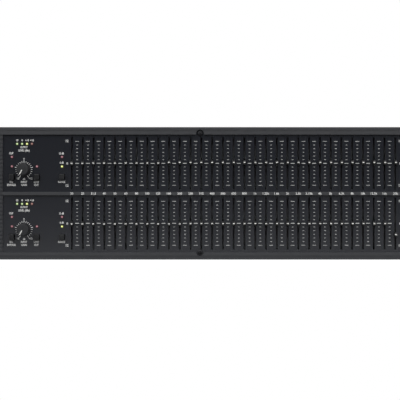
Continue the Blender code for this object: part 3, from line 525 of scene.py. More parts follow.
def dress(
    node: str, finishes: Sequence[Finish], choose: Callable[[bpy.types.MeshPolygon], int] | None = None,
    edge: float = 0.0,
) -> Object:
    """Gives a carried CAD node its finish, face by face, and breaks its edges.

    Args:
        node: The node's name.
        finishes: Its finishes.
        choose: Gives the number of a face's finish. Every face takes the first one without it.
        edge: Width of the broken edges, or zero to leave them sharp.

    Returns:
        The node's object.
    """
    thing = frame["nodes"][node]
    thing.data.materials.clear()
    for finish in finishes:
        thing.data.materials.append(finish.material())
    for face in thing.data.polygons:
        face.material_index = choose(face) if choose else 0
    if edge:
        # The carried normals don't fit the broken edges, so the node is shaded afresh
        for name in ("custom_normal", "sharp_edge"):
            if name in thing.data.attributes:
                thing.data.attributes.remove(thing.data.attributes[name])
        thing.data.shade_smooth()
        weld = thing.modifiers.new("weld", "WELD")
        weld.merge_threshold = 0.001 * MM
        tidy = thing.modifiers.new("flat_faces", "DECIMATE")
        tidy.decimate_type = "DISSOLVE"
        tidy.angle_limit = math.radians(1.0)
        tidy.delimit = {"MATERIAL"}
        bevel = thing.modifiers.new("broken_edges", "BEVEL")
        bevel.width = edge
        bevel.segments = 2
        bevel.limit_method = "ANGLE"
        bevel.angle_limit = math.radians(40.0)
        thing.modifiers.new("flat_shading", "WEIGHTED_NORMAL")
    return thing


@dataclass
class Layout:
    """Places on the front panel, read from the frame."""

    rim: float = 4.5 * MM
    film: float = 2.5 * MM

    def __post_init__(self) -> None:
        """Reads the panel, the slots and the channel centres."""
        self.low, self.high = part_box("front_panel")
        self.back = self.low.y + self.rim
        self.floor = self.back - self.film
        self.slots = [self.middle(f"fader_1_{band}_hz").x for band in BANDS]
        self.centres = {channel: self.slide_centre(f"fader_{channel}_20k_hz") for channel in CHANNELS}

    def middle(self, node: str) -> Vector:
        """The middle of a CAD node's box."""
        low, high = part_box(node)
        return (low + high) / 2

    def slide_centre(self, body: str) -> float:
        """The height midway along a fader's travel."""
        joint = next(joint for joint in frame["joints"] if joint["child"] == body)
        return self.middle(body).z + sum(joint["range_m"]) / 2

    def tip_height(self, node: str, x: float) -> float:
        """Finds the height of a fader's tip at rest, from the foremost points of its node.

        Args:
            node: The fader's node.
            x: Where the tip is across the panel.

        Returns:
            The height of the tip's middle.
        """
        points = [vertex.co for vertex in frame["nodes"][node].data.vertices]
        front = min(point.y for point in points)
        near = [point.z for point in points if abs(point.x - x) < 2 * MM and point.y < front + 0.1 * MM]
        return (max(near) + min(near)) / 2


@dataclass
class Panel:
    """The front panel's own finish, its screws, and the band numbers on its middle ridge."""

    layout: Layout
    number_height: float = 2.15 * MM
    edge: float = 0.15 * MM
    screw_radius: float = 2.6 * MM
    screw_rise: float = 7.5 * MM
    screw_drop: float = 6.2 * MM
    screw_front: float = 4.1 * MM

    def build(self) -> list[Object]:
        """Dresses the panel and adds its screws and numbers."""
        return [self.coat(), self.screws(), self.numbers()]

    def coat(self) -> Object:
        """Gives the panel powder coat all over, with film on the recess floors.

        Returns:
            The panel.
        """
        floor = self.layout.floor

        def film_or_coat(face: bpy.types.MeshPolygon) -> int:
            """One on a recess floor, else zero."""
            return int(face.normal.y < -0.9 and abs(face.center.y - floor) < 0.4 * MM)

        return dress("front_panel", [PANEL_COAT, RECESS_FILM], film_or_coat, self.edge)

    def screws(self) -> Object:
        """Makes the two screws in the scalloped notches.

        Returns:
            Both screws, as one piece.
        """
        blank, layout = Blank(), self.layout
        heads = (layout.low.z + self.screw_rise, layout.high.z - self.screw_drop)
        for z in heads:
            pan_head(blank, Side.FRONT.place(0.0, layout.back - self.screw_front, z), self.screw_radius)
        made = blank.piece("notch_screws", BLACK_OXIDE, "root", "screw_black")
        cross = Blank()
        for z in heads:
            cross_recess(cross, Side.FRONT.place(0.0, layout.back - self.screw_front, z), self.screw_radius)
        carved(made, cross)
        return made

    def numbers(self) -> Object:
        """Prints each band's centre frequency on the ridge between the channels.

        Returns:
            The print.
        """
        ink = Print(Side.FRONT, self.layout.low.y)
        ridge = sum(self.layout.centres.values()) / 2
        for band, x in zip(BANDS, self.layout.slots):
            ink.words(band_label(band), x, ridge, self.number_height, weight=0.045)
        return ink.piece("band_numbers")


def band_label(band: str) -> str:
    """Writes a band's frequency as it is printed.

    Args:
        band: The band's name, such as 31_5 or 1k25.

    Returns:
        The same with a decimal point, such as 31.5 or 1.25k.
    """
    if "_" in band:
        return band.replace("_", ".")
    whole, thousands, rest = band.partition("k")
    return f"{whole}.{rest}k" if rest else whole + thousands


def pan_head(blank: Blank, place: Matrix, radius: float) -> None:
    """Adds a pan-head screw whose top is at place, with its shank going in.

    Args:
        blank: The mesh that takes it.
        place: Its axis, z out of the surface, at the top of the head.
        radius: The head's radius.
    """
    depth = 0.62 * radius
    under, end, shank = -1.25 * depth, -1.6 * depth, 0.5 * radius
    crown = [(radius * math.sin(step * math.pi / 16), -depth * (1 - math.cos(step * math.pi / 16)) ** 1.2)
             for step in range(9)]
    blank.turned([*crown, (radius, under), (shank, under), (shank, end), (0.0, end)], place, 32)


def cross_recess(blank: Blank, place: Matrix, radius: float) -> None:
    """Adds the cross that a screwdriver fits, to be cut out of a head.

    Args:
        blank: The mesh that takes it.
        place: The screw's axis, at the top of its head.
        radius: The head's radius.
    """
    long, wide, deep = 0.6 * radius, 0.15 * radius, 0.45 * radius

    def cross(reach: float, height: float, angle: float) -> float:
        """Follows the outline of two crossed bars."""
        x, y = abs(math.cos(angle)) + 1e-9, abs(math.sin(angle)) + 1e-9
        return max(min(long / x, wide / y), min(wide / x, long / y))

    profile = [(0.0, deep), (long, deep), (long, -deep), (0.0, -deep)]
    blank.turned(profile, place @ Matrix.Rotation(math.pi / 5, 4, "Z"), 96, radius=cross)


@dataclass
class FaderField:
    """The faders, their white index marks, and the printed scales between them."""

    layout: Layout
    mark_width: float = 1.8 * MM
    mark_height: float = 1.05 * MM
    rows: int = 13
    span: float = 44.0 * MM
    end_tick: tuple[float, float] = (3.8 * MM, 0.36 * MM)
    centre_tick: tuple[float, float] = (3.8 * MM, 0.6 * MM)
    tick: tuple[float, float] = (1.7 * MM, 0.36 * MM)
    tick_shift: tuple[float, float] = (-0.3 * MM, 0.2 * MM)
    label_height: float = 2.2 * MM
    label_gap: float = 4.85 * MM

    def build(self) -> list[Object]:
        """Dresses the faders and adds marks, ticks and scale numbers.

        Returns:
            Every piece of the field.
        """
        made = []
        for channel in CHANNELS:
            made += [self.ticks(channel), self.scale(channel)]
        for band, x in zip(BANDS, self.layout.slots):
            made += self.fader(f"fader_1_{band}_hz", [x])
        made += self.fader("fader_2_20k_hz", [self.layout.slots[-1]])
        for name, (first, last) in COMBS.items():
            made += self.fader(f"faders_2_{name}_bands", self.layout.slots[first:last])
        return made

    def fader(self, node: str, columns: Sequence[float]) -> list[Object]:
        """Dresses one fader node and marks each of its tips.

        Args:
            node: The node, which is also its body's name.
            columns: Where its tips are, across the panel.

        Returns:
            The node and its marks.
        """
        thing = dress(node, [FADER_NYLON], edge=0.18 * MM)
        front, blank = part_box(node)[0].y, Blank()
        for x in columns:
            place = Side.FRONT.place(x, front, self.layout.tip_height(node, x))
            half_width, half_height = self.mark_width / 2, self.mark_height / 2
            blank.box((-half_width, -half_height, -0.3 * MM), (half_width, half_height, INK), place)
        return [thing, blank.piece(f"index_{node}", INDEX_WHITE, node, "print_white")]

    def ticks(self, channel: int) -> Object:
        """Prints the ladder of ticks midway between each two slots.

        Args:
            channel: Which channel's.

        Returns:
            The print.
        """
        ink, slots = Print(Side.FRONT, self.layout.floor), self.layout.slots
        middle = self.rows // 2
        for left, right in zip(slots, slots[1:]):
            for row in range(self.rows):
                size = self.tick
                if row in (0, self.rows - 1):
                    size = self.end_tick
                elif row == middle:
                    size = self.centre_tick
                rise = (row - middle) * self.span / (self.rows - 1) + self.tick_shift[1]
                ink.bar((left + right) / 2 + self.tick_shift[0], self.layout.centres[channel] + rise, *size)
        return ink.piece(f"scale_ticks_{channel}")

    def scale(self, channel: int) -> Object:
        """Prints the decibel numbers at both ends of the scales.

        Args:
            channel: Which channel's.

        Returns:
            The print.
        """
        ink, slots = Print(Side.FRONT, self.layout.floor), self.layout.slots
        for x in (slots[0] - self.label_gap, slots[-1] + self.label_gap):
            for text, rise in (("12", self.span / 2 + 0.6 * MM), ("0", 0.0), ("12", -self.span / 2)):
                ink.words(text, x, self.layout.centres[channel] + rise, self.label_height, weight=0.05)
        return ink.piece(f"scale_numbers_{channel}")


@dataclass
class GainKnob:
    """A gain knob: a fluted rubber body with a white index line, inside a printed ring of ticks."""

    layout: Layout
    channel: int
    flutes: int = 28
    flute_depth: float = 0.22 * MM
    steps: int = 6
    grip_top: float = 1.2 * MM
    grip_bottom: float = 13.2 * MM
    length: float = 14.6 * MM
    shaft: float = 3.0 * MM
    line_start: float = 0.7 * MM
    line_end: float = 5.7 * MM
    line_width: float = 0.95 * MM
    line_turn: float = -152.0
    ring_radius: float = 6.9 * MM
    major_tick: tuple[float, float] = (2.4 * MM, 0.6 * MM)
    minor_tick: tuple[float, float] = (1.6 * MM, 0.45 * MM)
    tick_turn: float = 15.0

    def build(self) -> list[Object]:
        """Makes the knob, its line and its ring."""
        return [self.body(), self.line(), self.ring()]

    @property
    def node(self) -> str:
        """The CAD node that the knob stands for, which is also its body's name."""
        return f"gain_knob_{self.channel}"

    def body(self) -> Object:
        """Turns the body, with flutes round its grip and the shaft behind it.

        Returns:
            The knob, in place of its CAD node.
        """
        low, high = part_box(self.node)
        outer, centre = (high.x - low.x) / 2, (low + high) / 2
        face = outer - 0.9 * MM

        def fluted(reach: float, height: float, angle: float) -> float:
            """Presses each flute into the grip, and nowhere else.

            Args:
                reach: The point's own radius.
                height: Its height.
                angle: Its angle round the axis.

            Returns:
                The radius that it gets.
            """
            if not -self.grip_bottom <= height <= -self.grip_top:
                return reach
            return reach - self.flute_depth * (0.5 + 0.5 * math.cos(self.flutes * angle))

        profile = [
            (0.0, -0.07 * MM), (face - 0.6 * MM, -0.07 * MM),
            (face, -0.12 * MM), (face + 0.25 * MM, -0.3 * MM),
            (outer - 0.4 * MM, -self.grip_top + 0.2 * MM), (outer - 0.35 * MM, -self.grip_top),
            (outer - 0.05 * MM, -self.grip_bottom), (outer, -self.grip_bottom - 0.2 * MM),
            (outer, -self.length + 0.3 * MM), (outer - 0.3 * MM, -self.length), (self.shaft, -self.length),
            (self.shaft, low.y - high.y), (0.0, low.y - high.y),
        ]
        blank = Blank()
        place = Side.FRONT.place(centre.x, low.y, centre.z)
        blank.turned(profile, place, self.flutes * self.steps, radius=fluted)
        return blank.piece(self.node + "_body", KNOB_RUBBER, self.node, "knob_rubber", replaces=[self.node])

    def line(self) -> Object:
        """Makes the white index line let into the knob's face.

        Returns:
            The line.
        """
        low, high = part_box(self.node)
        centre, blank = (low + high) / 2, Blank()
        turn = Matrix.Rotation(-math.radians(self.line_turn), 4, "Z")
        place = Side.FRONT.place(centre.x, low.y, centre.z) @ turn
        half = self.line_width / 2
        blank.box((-half, self.line_start, -0.5 * MM), (half, self.line_end, -0.01 * MM), place)
        return blank.piece(self.node + "_line", INDEX_WHITE, self.node, "print_white")

    def ring(self) -> Object:
        """Prints the ticks and numbers round the knob.

        Returns:
            The print.
        """
        centre = self.layout.middle(self.node)
        ink = Print(Side.FRONT, self.layout.floor)
        for step in range(-10, 11):
            length, width = self.minor_tick if step % 5 else self.major_tick
            rise = self.ring_radius + length / 2
            ink.bar(centre.x, centre.z, width, length, turn=step * self.tick_turn, rise=rise)
        ink.words("0", centre.x, centre.z + 10.7 * MM, 1.7 * MM)
        ink.words("12", centre.x - 5.9 * MM, centre.z - 8.9 * MM, 1.8 * MM, 2.3 * MM, weight=0.05)
        ink.words("+12", centre.x + 6.6 * MM, centre.z - 8.9 * MM, 1.8 * MM, 3.7 * MM, weight=0.05)
        ink.words("dB", centre.x, centre.z - 9.5 * MM, 1.7 * MM, 2.5 * MM, weight=0.05)
        return ink.piece(f"gain_ring_{self.channel}")


class Hue(Enum):
    """A lamp's colour and state, with its finish and the record's slot."""

    GREEN = (GREEN_LIT, "lamp_green")
    YELLOW = (YELLOW_LIT, "lamp_yellow")
    DIM = (RED_DIM, "lamp_red")
    OFF = (RED_OFF, "lamp_red")


@dataclass
class Controls:
    """Left of the faders: the meter and status lamps, the push buttons, and the legends."""

    layout: Layout
    channel: int
    lamp_radius: float = 1.5 * MM
    lamp_reach: float = 0.9 * MM
    lamp_back: float = 0.6 * MM
    meter_pitch: float = 4.93 * MM
    meter_start: float = -6.8 * MM
    meter_rise: float = 25.7 * MM
    upper_rise: float = 20.2 * MM
    lower_rise: float = 10.7 * MM
    capitals: float = 1.9 * MM

    def build(self) -> list[Object]:
        """Adds lamps and legends, and dresses the buttons.

        Returns:
            Every piece of the channel's controls but its knob.
        """
        buttons = ("bypass", "low_cut", "range")
        made = [dress(f"{name}_button_{self.channel}", [BLACK_ABS]) for name in buttons]
        for hue in Hue:
            made.append(self.lenses(hue))
        made.append(self.legends())
        return made

    def button(self, name: str) -> Vector:
        """The middle of one of the channel's buttons."""
        return self.layout.middle(f"{name}_button_{self.channel}")

    def lamps(self) -> list[tuple[float, float, Hue]]:
        """Lists the channel's lamps.

        Returns:
            Each lamp's place across and up, and its colour.
        """
        knob = self.layout.middle(f"gain_knob_{self.channel}")
        meter = (Hue.GREEN, Hue.GREEN, Hue.YELLOW, Hue.DIM)
        places = [(knob.x + self.meter_start + i * self.meter_pitch, knob.z + self.meter_rise, hue)
                  for i, hue in enumerate(meter)]
        for name, rise, hue in (("bypass", self.upper_rise, Hue.OFF), ("bypass", self.lower_rise, Hue.OFF),
                                ("low_cut", self.lower_rise, Hue.OFF), ("range", self.upper_rise, Hue.OFF),
                                ("range", self.lower_rise, Hue.YELLOW)):
            button = self.button(name)
            places.append((button.x, button.z + rise, hue))
        return places

    def lenses(self, hue: Hue) -> Object:
        """Makes the domed lenses of one colour, and marks how near each point is to its middle.

        Args:
            hue: The colour and state.

        Returns:
            The channel's lenses of that colour, as one piece.
        """
        finish, slot = hue.value
        blank = Blank()
        angles = [step * math.pi / 14 for step in range(8)]
        dome = [(self.lamp_radius * math.sin(angle), self.lamp_reach * math.cos(angle)) for angle in angles]
        for x, z, own in self.lamps():
            if own is hue:
                place = Side.FRONT.place(x, self.layout.floor, z)
                profile = [*dome, (self.lamp_radius, -self.lamp_back), (0.0, -self.lamp_back)]
                for vertex in blank.turned(profile, place, 24):
                    spot = place.inverted() @ vertex.co
                    share = math.hypot(spot.x, spot.y) / self.lamp_radius
                    # The core value pales the middle: on a lit lamp that is the die's glow, and on an unlit
                    # one it is a painted highlight
                    vertex[blank.core] = min(1.0, max(0.0, 1.6 - 2.0 * share))
        return blank.piece(f"lamps_{hue.name.lower()}_{self.channel}", finish, "root", slot, sharp=60.0)

    def legends(self) -> Object:
        """Prints the words and numbers beside the controls.

        Returns:
            The print.
        """
        ink = Print(Side.FRONT, self.layout.floor)
        knob = self.layout.middle(f"gain_knob_{self.channel}")
        bypass, cut, span = self.button("bypass"), self.button("low_cut"), self.button("range")
        # Each line: its words, its place across, then its rise from the knob and its width in millimetres
        lines = [
            ("OUTPUT", knob.x, 22.35, 7.4), ("LEVEL (dBu)", knob.x, 19.15, 11.2),
            ("CLIP", bypass.x - 0.75 * MM, 16.35, 4.3), ("15 dB", span.x - 0.5 * MM, 16.15, 4.7),
            ("6 dB", span.x - 0.3 * MM, 6.95, 4.0),
            ("EQ", bypass.x - 0.6 * MM, -12.4, 3.3), ("BYPASS", bypass.x - 0.5 * MM, -15.4, 8.6),
            ("INPUT", knob.x, -12.4, 6.3), ("GAIN", knob.x, -15.4, 5.7),
            ("LOW", cut.x - 0.6 * MM, -12.4, 5.1), ("CUT", cut.x - 0.6 * MM, -15.4, 4.5),
            ("RANGE", span.x - 0.4 * MM, -12.4, 7.0),
        ]
        for text, x, rise, width in lines:
            ink.words(text, x, knob.z + rise * MM, self.capitals, width * MM, weight=0.05)
        for i, (text, width) in enumerate((("10", 2.1), ("0", 1.4), ("+10", 3.8), ("+18", 3.8))):
            x = knob.x + self.meter_start + i * self.meter_pitch
            ink.words(text, x, knob.z + 29.3 * MM, 1.8 * MM, width * MM, weight=0.05)
        return ink.piece(f"legends_{self.channel}")


@dataclass
class Case:
    """The steel case: tray, cover and rear plate, with their screws and the rear's print."""

    screw_radius: float = 3.0 * MM
    screw_height: float = 1.1 * MM
    side_drop: float = 6.5 * MM
    top_inset: float = 8.0 * MM
    rear_inset: float = 6.0 * MM
    rear_drop: float = 18.0 * MM
    edge: float = 0.3 * MM

    def build(self) -> list[Object]:
        """Dresses the sheet metal and adds screws and print.

        Returns:
            Every piece of the case.
        """
        sheets = ("chassis_tray", "top_cover", "rear_panel")
        made = [dress(node, [CASE_COAT], edge=self.edge) for node in sheets]
        return [*made, self.screws(), self.rear_print()]

    def screws(self) -> Object:
        """Makes three screws along each side of the cover, four on its top, and six round the rear plate.

        Returns:
            All of them, as one piece.
        """
        places = []
        low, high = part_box("top_cover")
        depth = high.y - low.y
        for share in (0.1, 0.5, 0.9):
            for side, x in ((Side.LEFT, low.x), (Side.RIGHT, high.x)):
                places.append(side.place(x, low.y + share * depth, high.z - self.side_drop))
        for x in (0.94 * low.x, 0.94 * high.x):
            for y in (low.y + self.top_inset, high.y - self.top_inset):
                places.append(Side.TOP.place(x, y, high.z))
        low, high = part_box("rear_panel")
        for x in (low.x + self.rear_inset, 0.0, high.x - self.rear_inset):
            for z in (low.z + self.rear_inset, high.z - self.rear_drop):
                places.append(Side.REAR.place(x, high.y, z))
        blank, cross = Blank(), Blank()
        for place in places:
            head = place @ Matrix.Translation((0.0, 0.0, self.screw_height))
            pan_head(blank, head, self.screw_radius)
            cross_recess(cross, head, self.screw_radius)
        made = blank.piece("case_screws", BLACK_OXIDE, "root", "screw_black")
        carved(made, cross)
        return made

    def rear_print(self) -> Object:
        """Prints the sockets' names and each channel's bracket on the rear plate.

        Returns:
            The print.
        """
        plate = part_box("rear_panel")
        ink = Print(Side.REAR, plate[1].y)
        for channel in CHANNELS:
            ends = []
            for name in ("INPUT", "OUTPUT"):
                low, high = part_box(f"xlr_{name.lower()}_{channel}")
                x = (low.x + high.x) / 2
                ends.append(x)
                ink.words(name, x, low.z - 5 * MM, 2.6 * MM)
                ink.words("BALANCED", x, low.z - 9.5 * MM, 1.8 * MM)
                ink.words("UNBALANCED", x, plate[0].z + 36 * MM, 1.8 * MM)
            middle, level = sum(ends) / 2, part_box(f"xlr_input_{channel}")[1].z + 7 * MM
            ink.words(f"CHANNEL {channel}", middle, level, 3.2 * MM)
            reach = abs(ends[0] - ends[1]) / 2 + 13 * MM
            for side in (-1, 1):
                ink.bar(middle + side * (reach / 2 + 8 * MM), level, reach - 16 * MM, 0.4 * MM)
                ink.bar(middle + side * reach, level - 2 * MM, 0.4 * MM, 4.4 * MM)
        inlet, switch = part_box("mains_inlet"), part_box("power_switch_housing")
        ink.words("MAINS", (inlet[0].x + inlet[1].x) / 2, inlet[1].z + 5 * MM, 2.6 * MM)
        ink.words("POWER", (switch[0].x + switch[1].x) / 2, switch[1].z + 5 * MM, 2.6 * MM)
        return ink.piece("rear_print")


@dataclass
class RoundConnector:
    """A three-pin chassis connector: die-cast shell, black insert, contacts, and a latch on inputs."""

    name: str
    cup: float = 9.5 * MM
    cup_depth: float = 14.0 * MM
    core: float = 7.3 * MM
    pin: float = 1.2 * MM
    pin_length: float = 12.0 * MM
    circle: float = 4.3 * MM
    flange: float = 2.0 * MM
    wall: float = 1.3 * MM
    corner: float = 3.0 * MM
    screw_radius: float = 2.2 * MM

    def build(self) -> list[Object]:
        """Makes the connector in place of its CAD node.

        Returns:
            Its pieces.
        """
        low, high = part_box(f"xlr_{self.name}")
        self.place = Side.REAR.place((low.x + high.x) / 2, high.y, (low.z + high.z) / 2)
        self.half = ((high.x - low.x) / 2, (high.z - low.z) / 2)
        self.depth = high.y - low.y
        made = [self.shell(), self.insert(), self.contacts(), self.screws()]
        if self.is_input:
            made.append(self.latch())
        return made

    @property
    def is_input(self) -> bool:
        """Whether it has sockets, as an input does, and not pins."""
        return self.name.startswith("input")

    def shell(self) -> Object:
        """Makes the flange with rounded corners, and the collar and barrel in it.

        Returns:
            The shell, in place of the connector's CAD node.
        """
        blank, (half_x, half_z) = Blank(), self.half

        def plate(reach: float, height: float, angle: float) -> float:
            """Spreads the outer points to the flange's outline, and leaves its mouth round.

            Args:
                reach: The point's own radius.
                height: Its height; not used.
                angle: Its angle round the axis.

            Returns:
                The radius that it gets.
            """
            inset = half_x - reach
            if inset > 1.0 * MM:
                return reach
            return rounded_rectangle(half_x - inset, half_z - inset, self.corner, angle)

        inner = self.cup + self.wall
        blank.turned([
            (inner, -0.5 * MM), (half_x - 0.35 * MM, -0.5 * MM), (half_x - 0.1 * MM, -0.6 * MM),
            (half_x, -0.85 * MM), (half_x, -self.flange), (inner, -self.flange),
        ], self.place, 128, ring=True, radius=plate)
        blank.turned([
            (self.cup + 0.5 * MM, 0.0), (inner, -0.2 * MM), (self.cup + 1.5 * MM, -1.2 * MM),
            (self.cup + 1.5 * MM, 1.0 * MM - self.depth), (self.cup + 0.5 * MM, -self.depth),
            (self.cup - 1.0 * MM, -self.depth), (self.cup - 1.0 * MM, -self.cup_depth - 1.0 * MM),
            (self.cup, -self.cup_depth), (self.cup, -0.5 * MM), (self.cup + 0.2 * MM, -0.1 * MM),
        ], self.place, 64, ring=True)
        node = f"xlr_{self.name}"
        return blank.piece(f"{node}_shell", NICKEL, "root", "connector_shell", replaces=[node])

    def insert(self) -> Object:
        """Makes the black moulding: a stepped core with holes on an input, a plain floor on an output.

        Returns:
            The insert.
        """
        blank = Blank()
        floor = -self.cup_depth
        if self.is_input:
            profile = [(0.0, -0.7 * MM), (self.core - 0.5 * MM, -0.7 * MM), (self.core, -1.2 * MM),
                       (self.core, floor + 0.4 * MM), (self.cup - 0.1 * MM, floor + 0.4 * MM),
                       (self.cup - 0.1 * MM, floor - 0.9 * MM), (0.0, floor - 0.9 * MM)]
        else:
            profile = [(0.0, floor + 1.0 * MM), (self.cup - 1.4 * MM, floor + 1.0 * MM),
                       (self.cup - 0.9 * MM, floor + 0.5 * MM), (self.cup - 0.1 * MM, floor + 0.5 * MM),
                       (self.cup - 0.1 * MM, floor - 0.9 * MM), (0.0, floor - 0.9 * MM)]
        blank.turned(profile, self.place, 48)
        made = blank.piece(f"xlr_{self.name}_insert", BLACK_ABS, "root", "black_plastic")
        if self.is_input:
            holes, hole = Blank(), self.pin + 0.35 * MM
            drill = [(0.0, 1.0 * MM), (hole, 1.0 * MM), (hole, -9.0 * MM), (0.0, -9.0 * MM)]
            for spot in self.contact_places():
                holes.turned(drill, spot, 20)
            carved(made, holes)
        return made

    def contact_places(self) -> list[Matrix]:
        """Finds the axes of the three contacts, a third of a turn apart.

        Returns:
            The three axes.
        """
        turns = [math.tau * third / 3 for third in range(3)]
        spots = [(self.circle * math.sin(turn), -self.circle * math.cos(turn), 0.0) for turn in turns]
        return [self.place @ Matrix.Translation(spot) for spot in spots]

    def contacts(self) -> Object:
        """Makes three gold sleeves in the holes of an input, or three round-nosed pins on an output.

        Returns:
            The contacts, as one piece.
        """
        blank = Blank()
        for spot in self.contact_places():
            if self.is_input:
                outer, inner = self.pin + 0.3 * MM, self.pin
                blank.turned([(outer, -1.6 * MM), (outer, -8.5 * MM), (inner, -8.5 * MM), (inner, -1.6 * MM)],
                             spot, 20, ring=True)
            else:
                top = self.pin_length - self.cup_depth
                angles = [step * math.pi / 8 for step in range(5)]
                nose = [(self.pin * math.sin(angle), top - self.pin * (1 - math.cos(angle)))
                        for angle in angles]
                blank.turned([*nose, (self.pin, -self.cup_depth), (0.0, -self.cup_depth)], spot, 20)
        return blank.piece(f"xlr_{self.name}_contacts", GOLD, "root", "connector_shell")

    def screws(self) -> Object:
        """Makes two small screws in opposite corners of the flange.

        Returns:
            Both screws, as one piece.
        """
        blank, cross = Blank(), Blank()
        for side in (-1, 1):
            spot = self.place @ Matrix.Translation(
                (side * (self.half[0] - 3.4 * MM), -side * (self.half[1] - 3.2 * MM), -0.02 * MM))
            pan_head(blank, spot, self.screw_radius)
            cross_recess(cross, spot, self.screw_radius)
        made = blank.piece(f"xlr_{self.name}_screws", BLACK_OXIDE, "root", "screw_black")
        carved(made, cross)
        return made

    def latch(self) -> Object:
        """Makes the ribbed release tab above the mouth of an input.

        Returns:
            The tab.
        """
        blank = Blank()
        low = self.cup + 1.2 * MM
        blank.box((-2.6 * MM, low, -1.6 * MM), (2.6 * MM, low + 2.6 * MM, 0.0), self.place, 0.4 * MM)
        for rib in range(3):
            level = low + (0.65 + 0.65 * rib) * MM
            lowest, highest = (-1.9 * MM, level - 0.15 * MM, -0.3 * MM), (1.9 * MM, level + 0.15 * MM, 0.0)
            blank.box(lowest, highest, self.place)
        return blank.piece(f"xlr_{self.name}_latch", NICKEL, "root", "connector_shell")


@dataclass
class Rear:
    """The jacks' nuts, the mains inlet and the power switch."""

    nut_flats: float = 6.2 * MM
    nut: float = 2.2 * MM
    washer: float = 0.6 * MM
    washer_radius: float = 7.2 * MM
    bush: float = 4.6 * MM
    inlet_screw_radius: float = 2.5 * MM
    inlet_well: tuple[float, float] = (8.3 * MM, 4.3 * MM)
    inlet_floor: float = 4.2 * MM
    mark_depth: float = 0.2 * MM
    mark_height: float = 1.8 * MM
    mark_width: float = 0.35 * MM
    mark_ring: tuple[float, float] = (1.9 * MM, 1.25 * MM)

    def build(self) -> list[Object]:
        """Adds the nuts and washers, and dresses the inlet and the switch."""
        return [self.nuts(), self.washers(), self.inlet(), self.inlet_screws(), *self.switch()]

    def jacks(self) -> list[Matrix]:
        """Finds the jacks' axes on the rear plate, below the round connectors.

        Returns:
            The four axes.
        """
        plate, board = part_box("rear_panel"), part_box("main_board")
        collars = [vertex.co.z for vertex in frame["nodes"]["main_board"].data.vertices
                   if vertex.co.y > board[1].y - 0.1 * MM]
        boxes = [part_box(f"xlr_{way}_{channel}") for channel in CHANNELS for way in ("input", "output")]
        level = (min(collars) + max(collars)) / 2
        return [Side.REAR.place((low.x + high.x) / 2, plate[1].y, level) for low, high in boxes]

    def nuts(self) -> Object:
        """Makes a hexagonal nut round each jack, with its corners turned down.

        Returns:
            The nuts, as one piece.
        """
        blank = Blank()

        def hexagonal(reach: float, height: float, angle: float) -> float:
            """Flattens the outside into six sides.

            Args:
                reach: The point's own radius.
                height: Its height; not used.
                angle: Its angle round the axis.

            Returns:
                The radius that it gets.
            """
            if reach < self.nut_flats - 0.1 * MM:
                return reach
            across = self.nut_flats / math.cos((angle % (math.pi / 3)) - math.pi / 6)
            return min(across, reach)

        corner = self.nut_flats / math.cos(math.pi / 6)
        top = self.washer + self.nut
        profile = [(self.bush, top - 0.3 * MM), (self.bush + 0.3 * MM, top), (self.nut_flats, top),
                   (corner, top - 0.5 * MM), (corner, self.washer), (self.bush, self.washer)]
        for place in self.jacks():
            blank.turned(profile, place, 72, ring=True, radius=hexagonal)
        return blank.piece("jack_nuts", NICKEL, "root", "nut_nickel", sharp=25.0)

    def washers(self) -> Object:
        """Makes a flat washer under each nut.

        Returns:
            The washers, as one piece.
        """
        blank, edge, hole = Blank(), 0.15 * MM, self.bush + 0.2 * MM
        profile = [(hole, self.washer), (self.washer_radius - edge, self.washer),
                   (self.washer_radius, self.washer - edge), (self.washer_radius, 0.0), (hole, 0.0)]
        for place in self.jacks():
            blank.turned(profile, place, 48, ring=True)
        return blank.piece("jack_washers", NICKEL, "root", "nut_nickel")

    def inlet(self) -> Object:
        """Gives the mains inlet its moulding's finish, and nickel on its three blades.

        Returns:
            The inlet.
        """
        low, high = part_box("mains_inlet")
        middle = (low + high) / 2
        back = low.y + self.inlet_floor
        half_width, half_height = self.inlet_well

        def blade(face: bpy.types.MeshPolygon) -> int:
            """One on a blade, else zero."""
            spot = face.center
            inside = abs(spot.x - middle.x) < half_width and abs(spot.z - middle.z) < half_height
            return int(inside and back < spot.y < high.y - 2 * MM)

        return dress("mains_inlet", [BLACK_ABS, NICKEL], blade, 0.35 * MM)

    def inlet_screws(self) -> Object:
        """Makes the two pan-head screws beside the inlet's mouth.

        Returns:
            Both screws, as one piece.
        """
        low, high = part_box("mains_inlet")
        blank, cross = Blank(), Blank()
        for x in (low.x + 4.6 * MM, high.x - 4.6 * MM):
            spot = Side.REAR.place(x, high.y + 0.45 * MM, (low.z + high.z) / 2)
            pan_head(blank, spot, self.inlet_screw_radius)
            cross_recess(cross, spot, self.inlet_screw_radius)
        made = blank.piece("inlet_screws", NICKEL, "root", "nut_nickel")
        carved(made, cross)
        return made

    def switch(self) -> list[Object]:
        """Dresses the switch's housing and rocker, and marks the rocker for on and off.

        Returns:
            The housing, the rocker and its marks.
        """
        made = [dress("power_switch_housing", [BLACK_ABS], edge=0.4 * MM), dress("power_rocker", [BLACK_ABS])]
        faces = [face for face in made[1].data.polygons if face.normal.y > 0.3 and face.area > 2 * MM * MM]
        middle = sum(face.center.z for face in faces) / len(faces)
        blank = Blank()
        for upper in (True, False):
            half = [face for face in faces if (face.center.z > middle) is upper]
            out = half[0].normal
            across = Vector((-1.0, 0.0, 0.0))
            axes = Matrix((across, out.cross(across), out)).transposed().to_4x4()
            place = Matrix.Translation(sum((part.center for part in half), Vector()) / len(half)) @ axes
            wide, tall, sunk = self.mark_width, self.mark_height, -self.mark_depth
            if upper:
                blank.box((-wide, -tall, sunk), (wide, tall, INK), place)
            else:
                outer, inner = self.mark_ring
                blank.turned([(outer, INK), (outer, sunk), (inner, sunk), (inner, INK)], place, 32, ring=True)
        made.append(blank.piece("power_rocker_marks", WHITE_INK, "power_rocker", "print_white"))
        return made


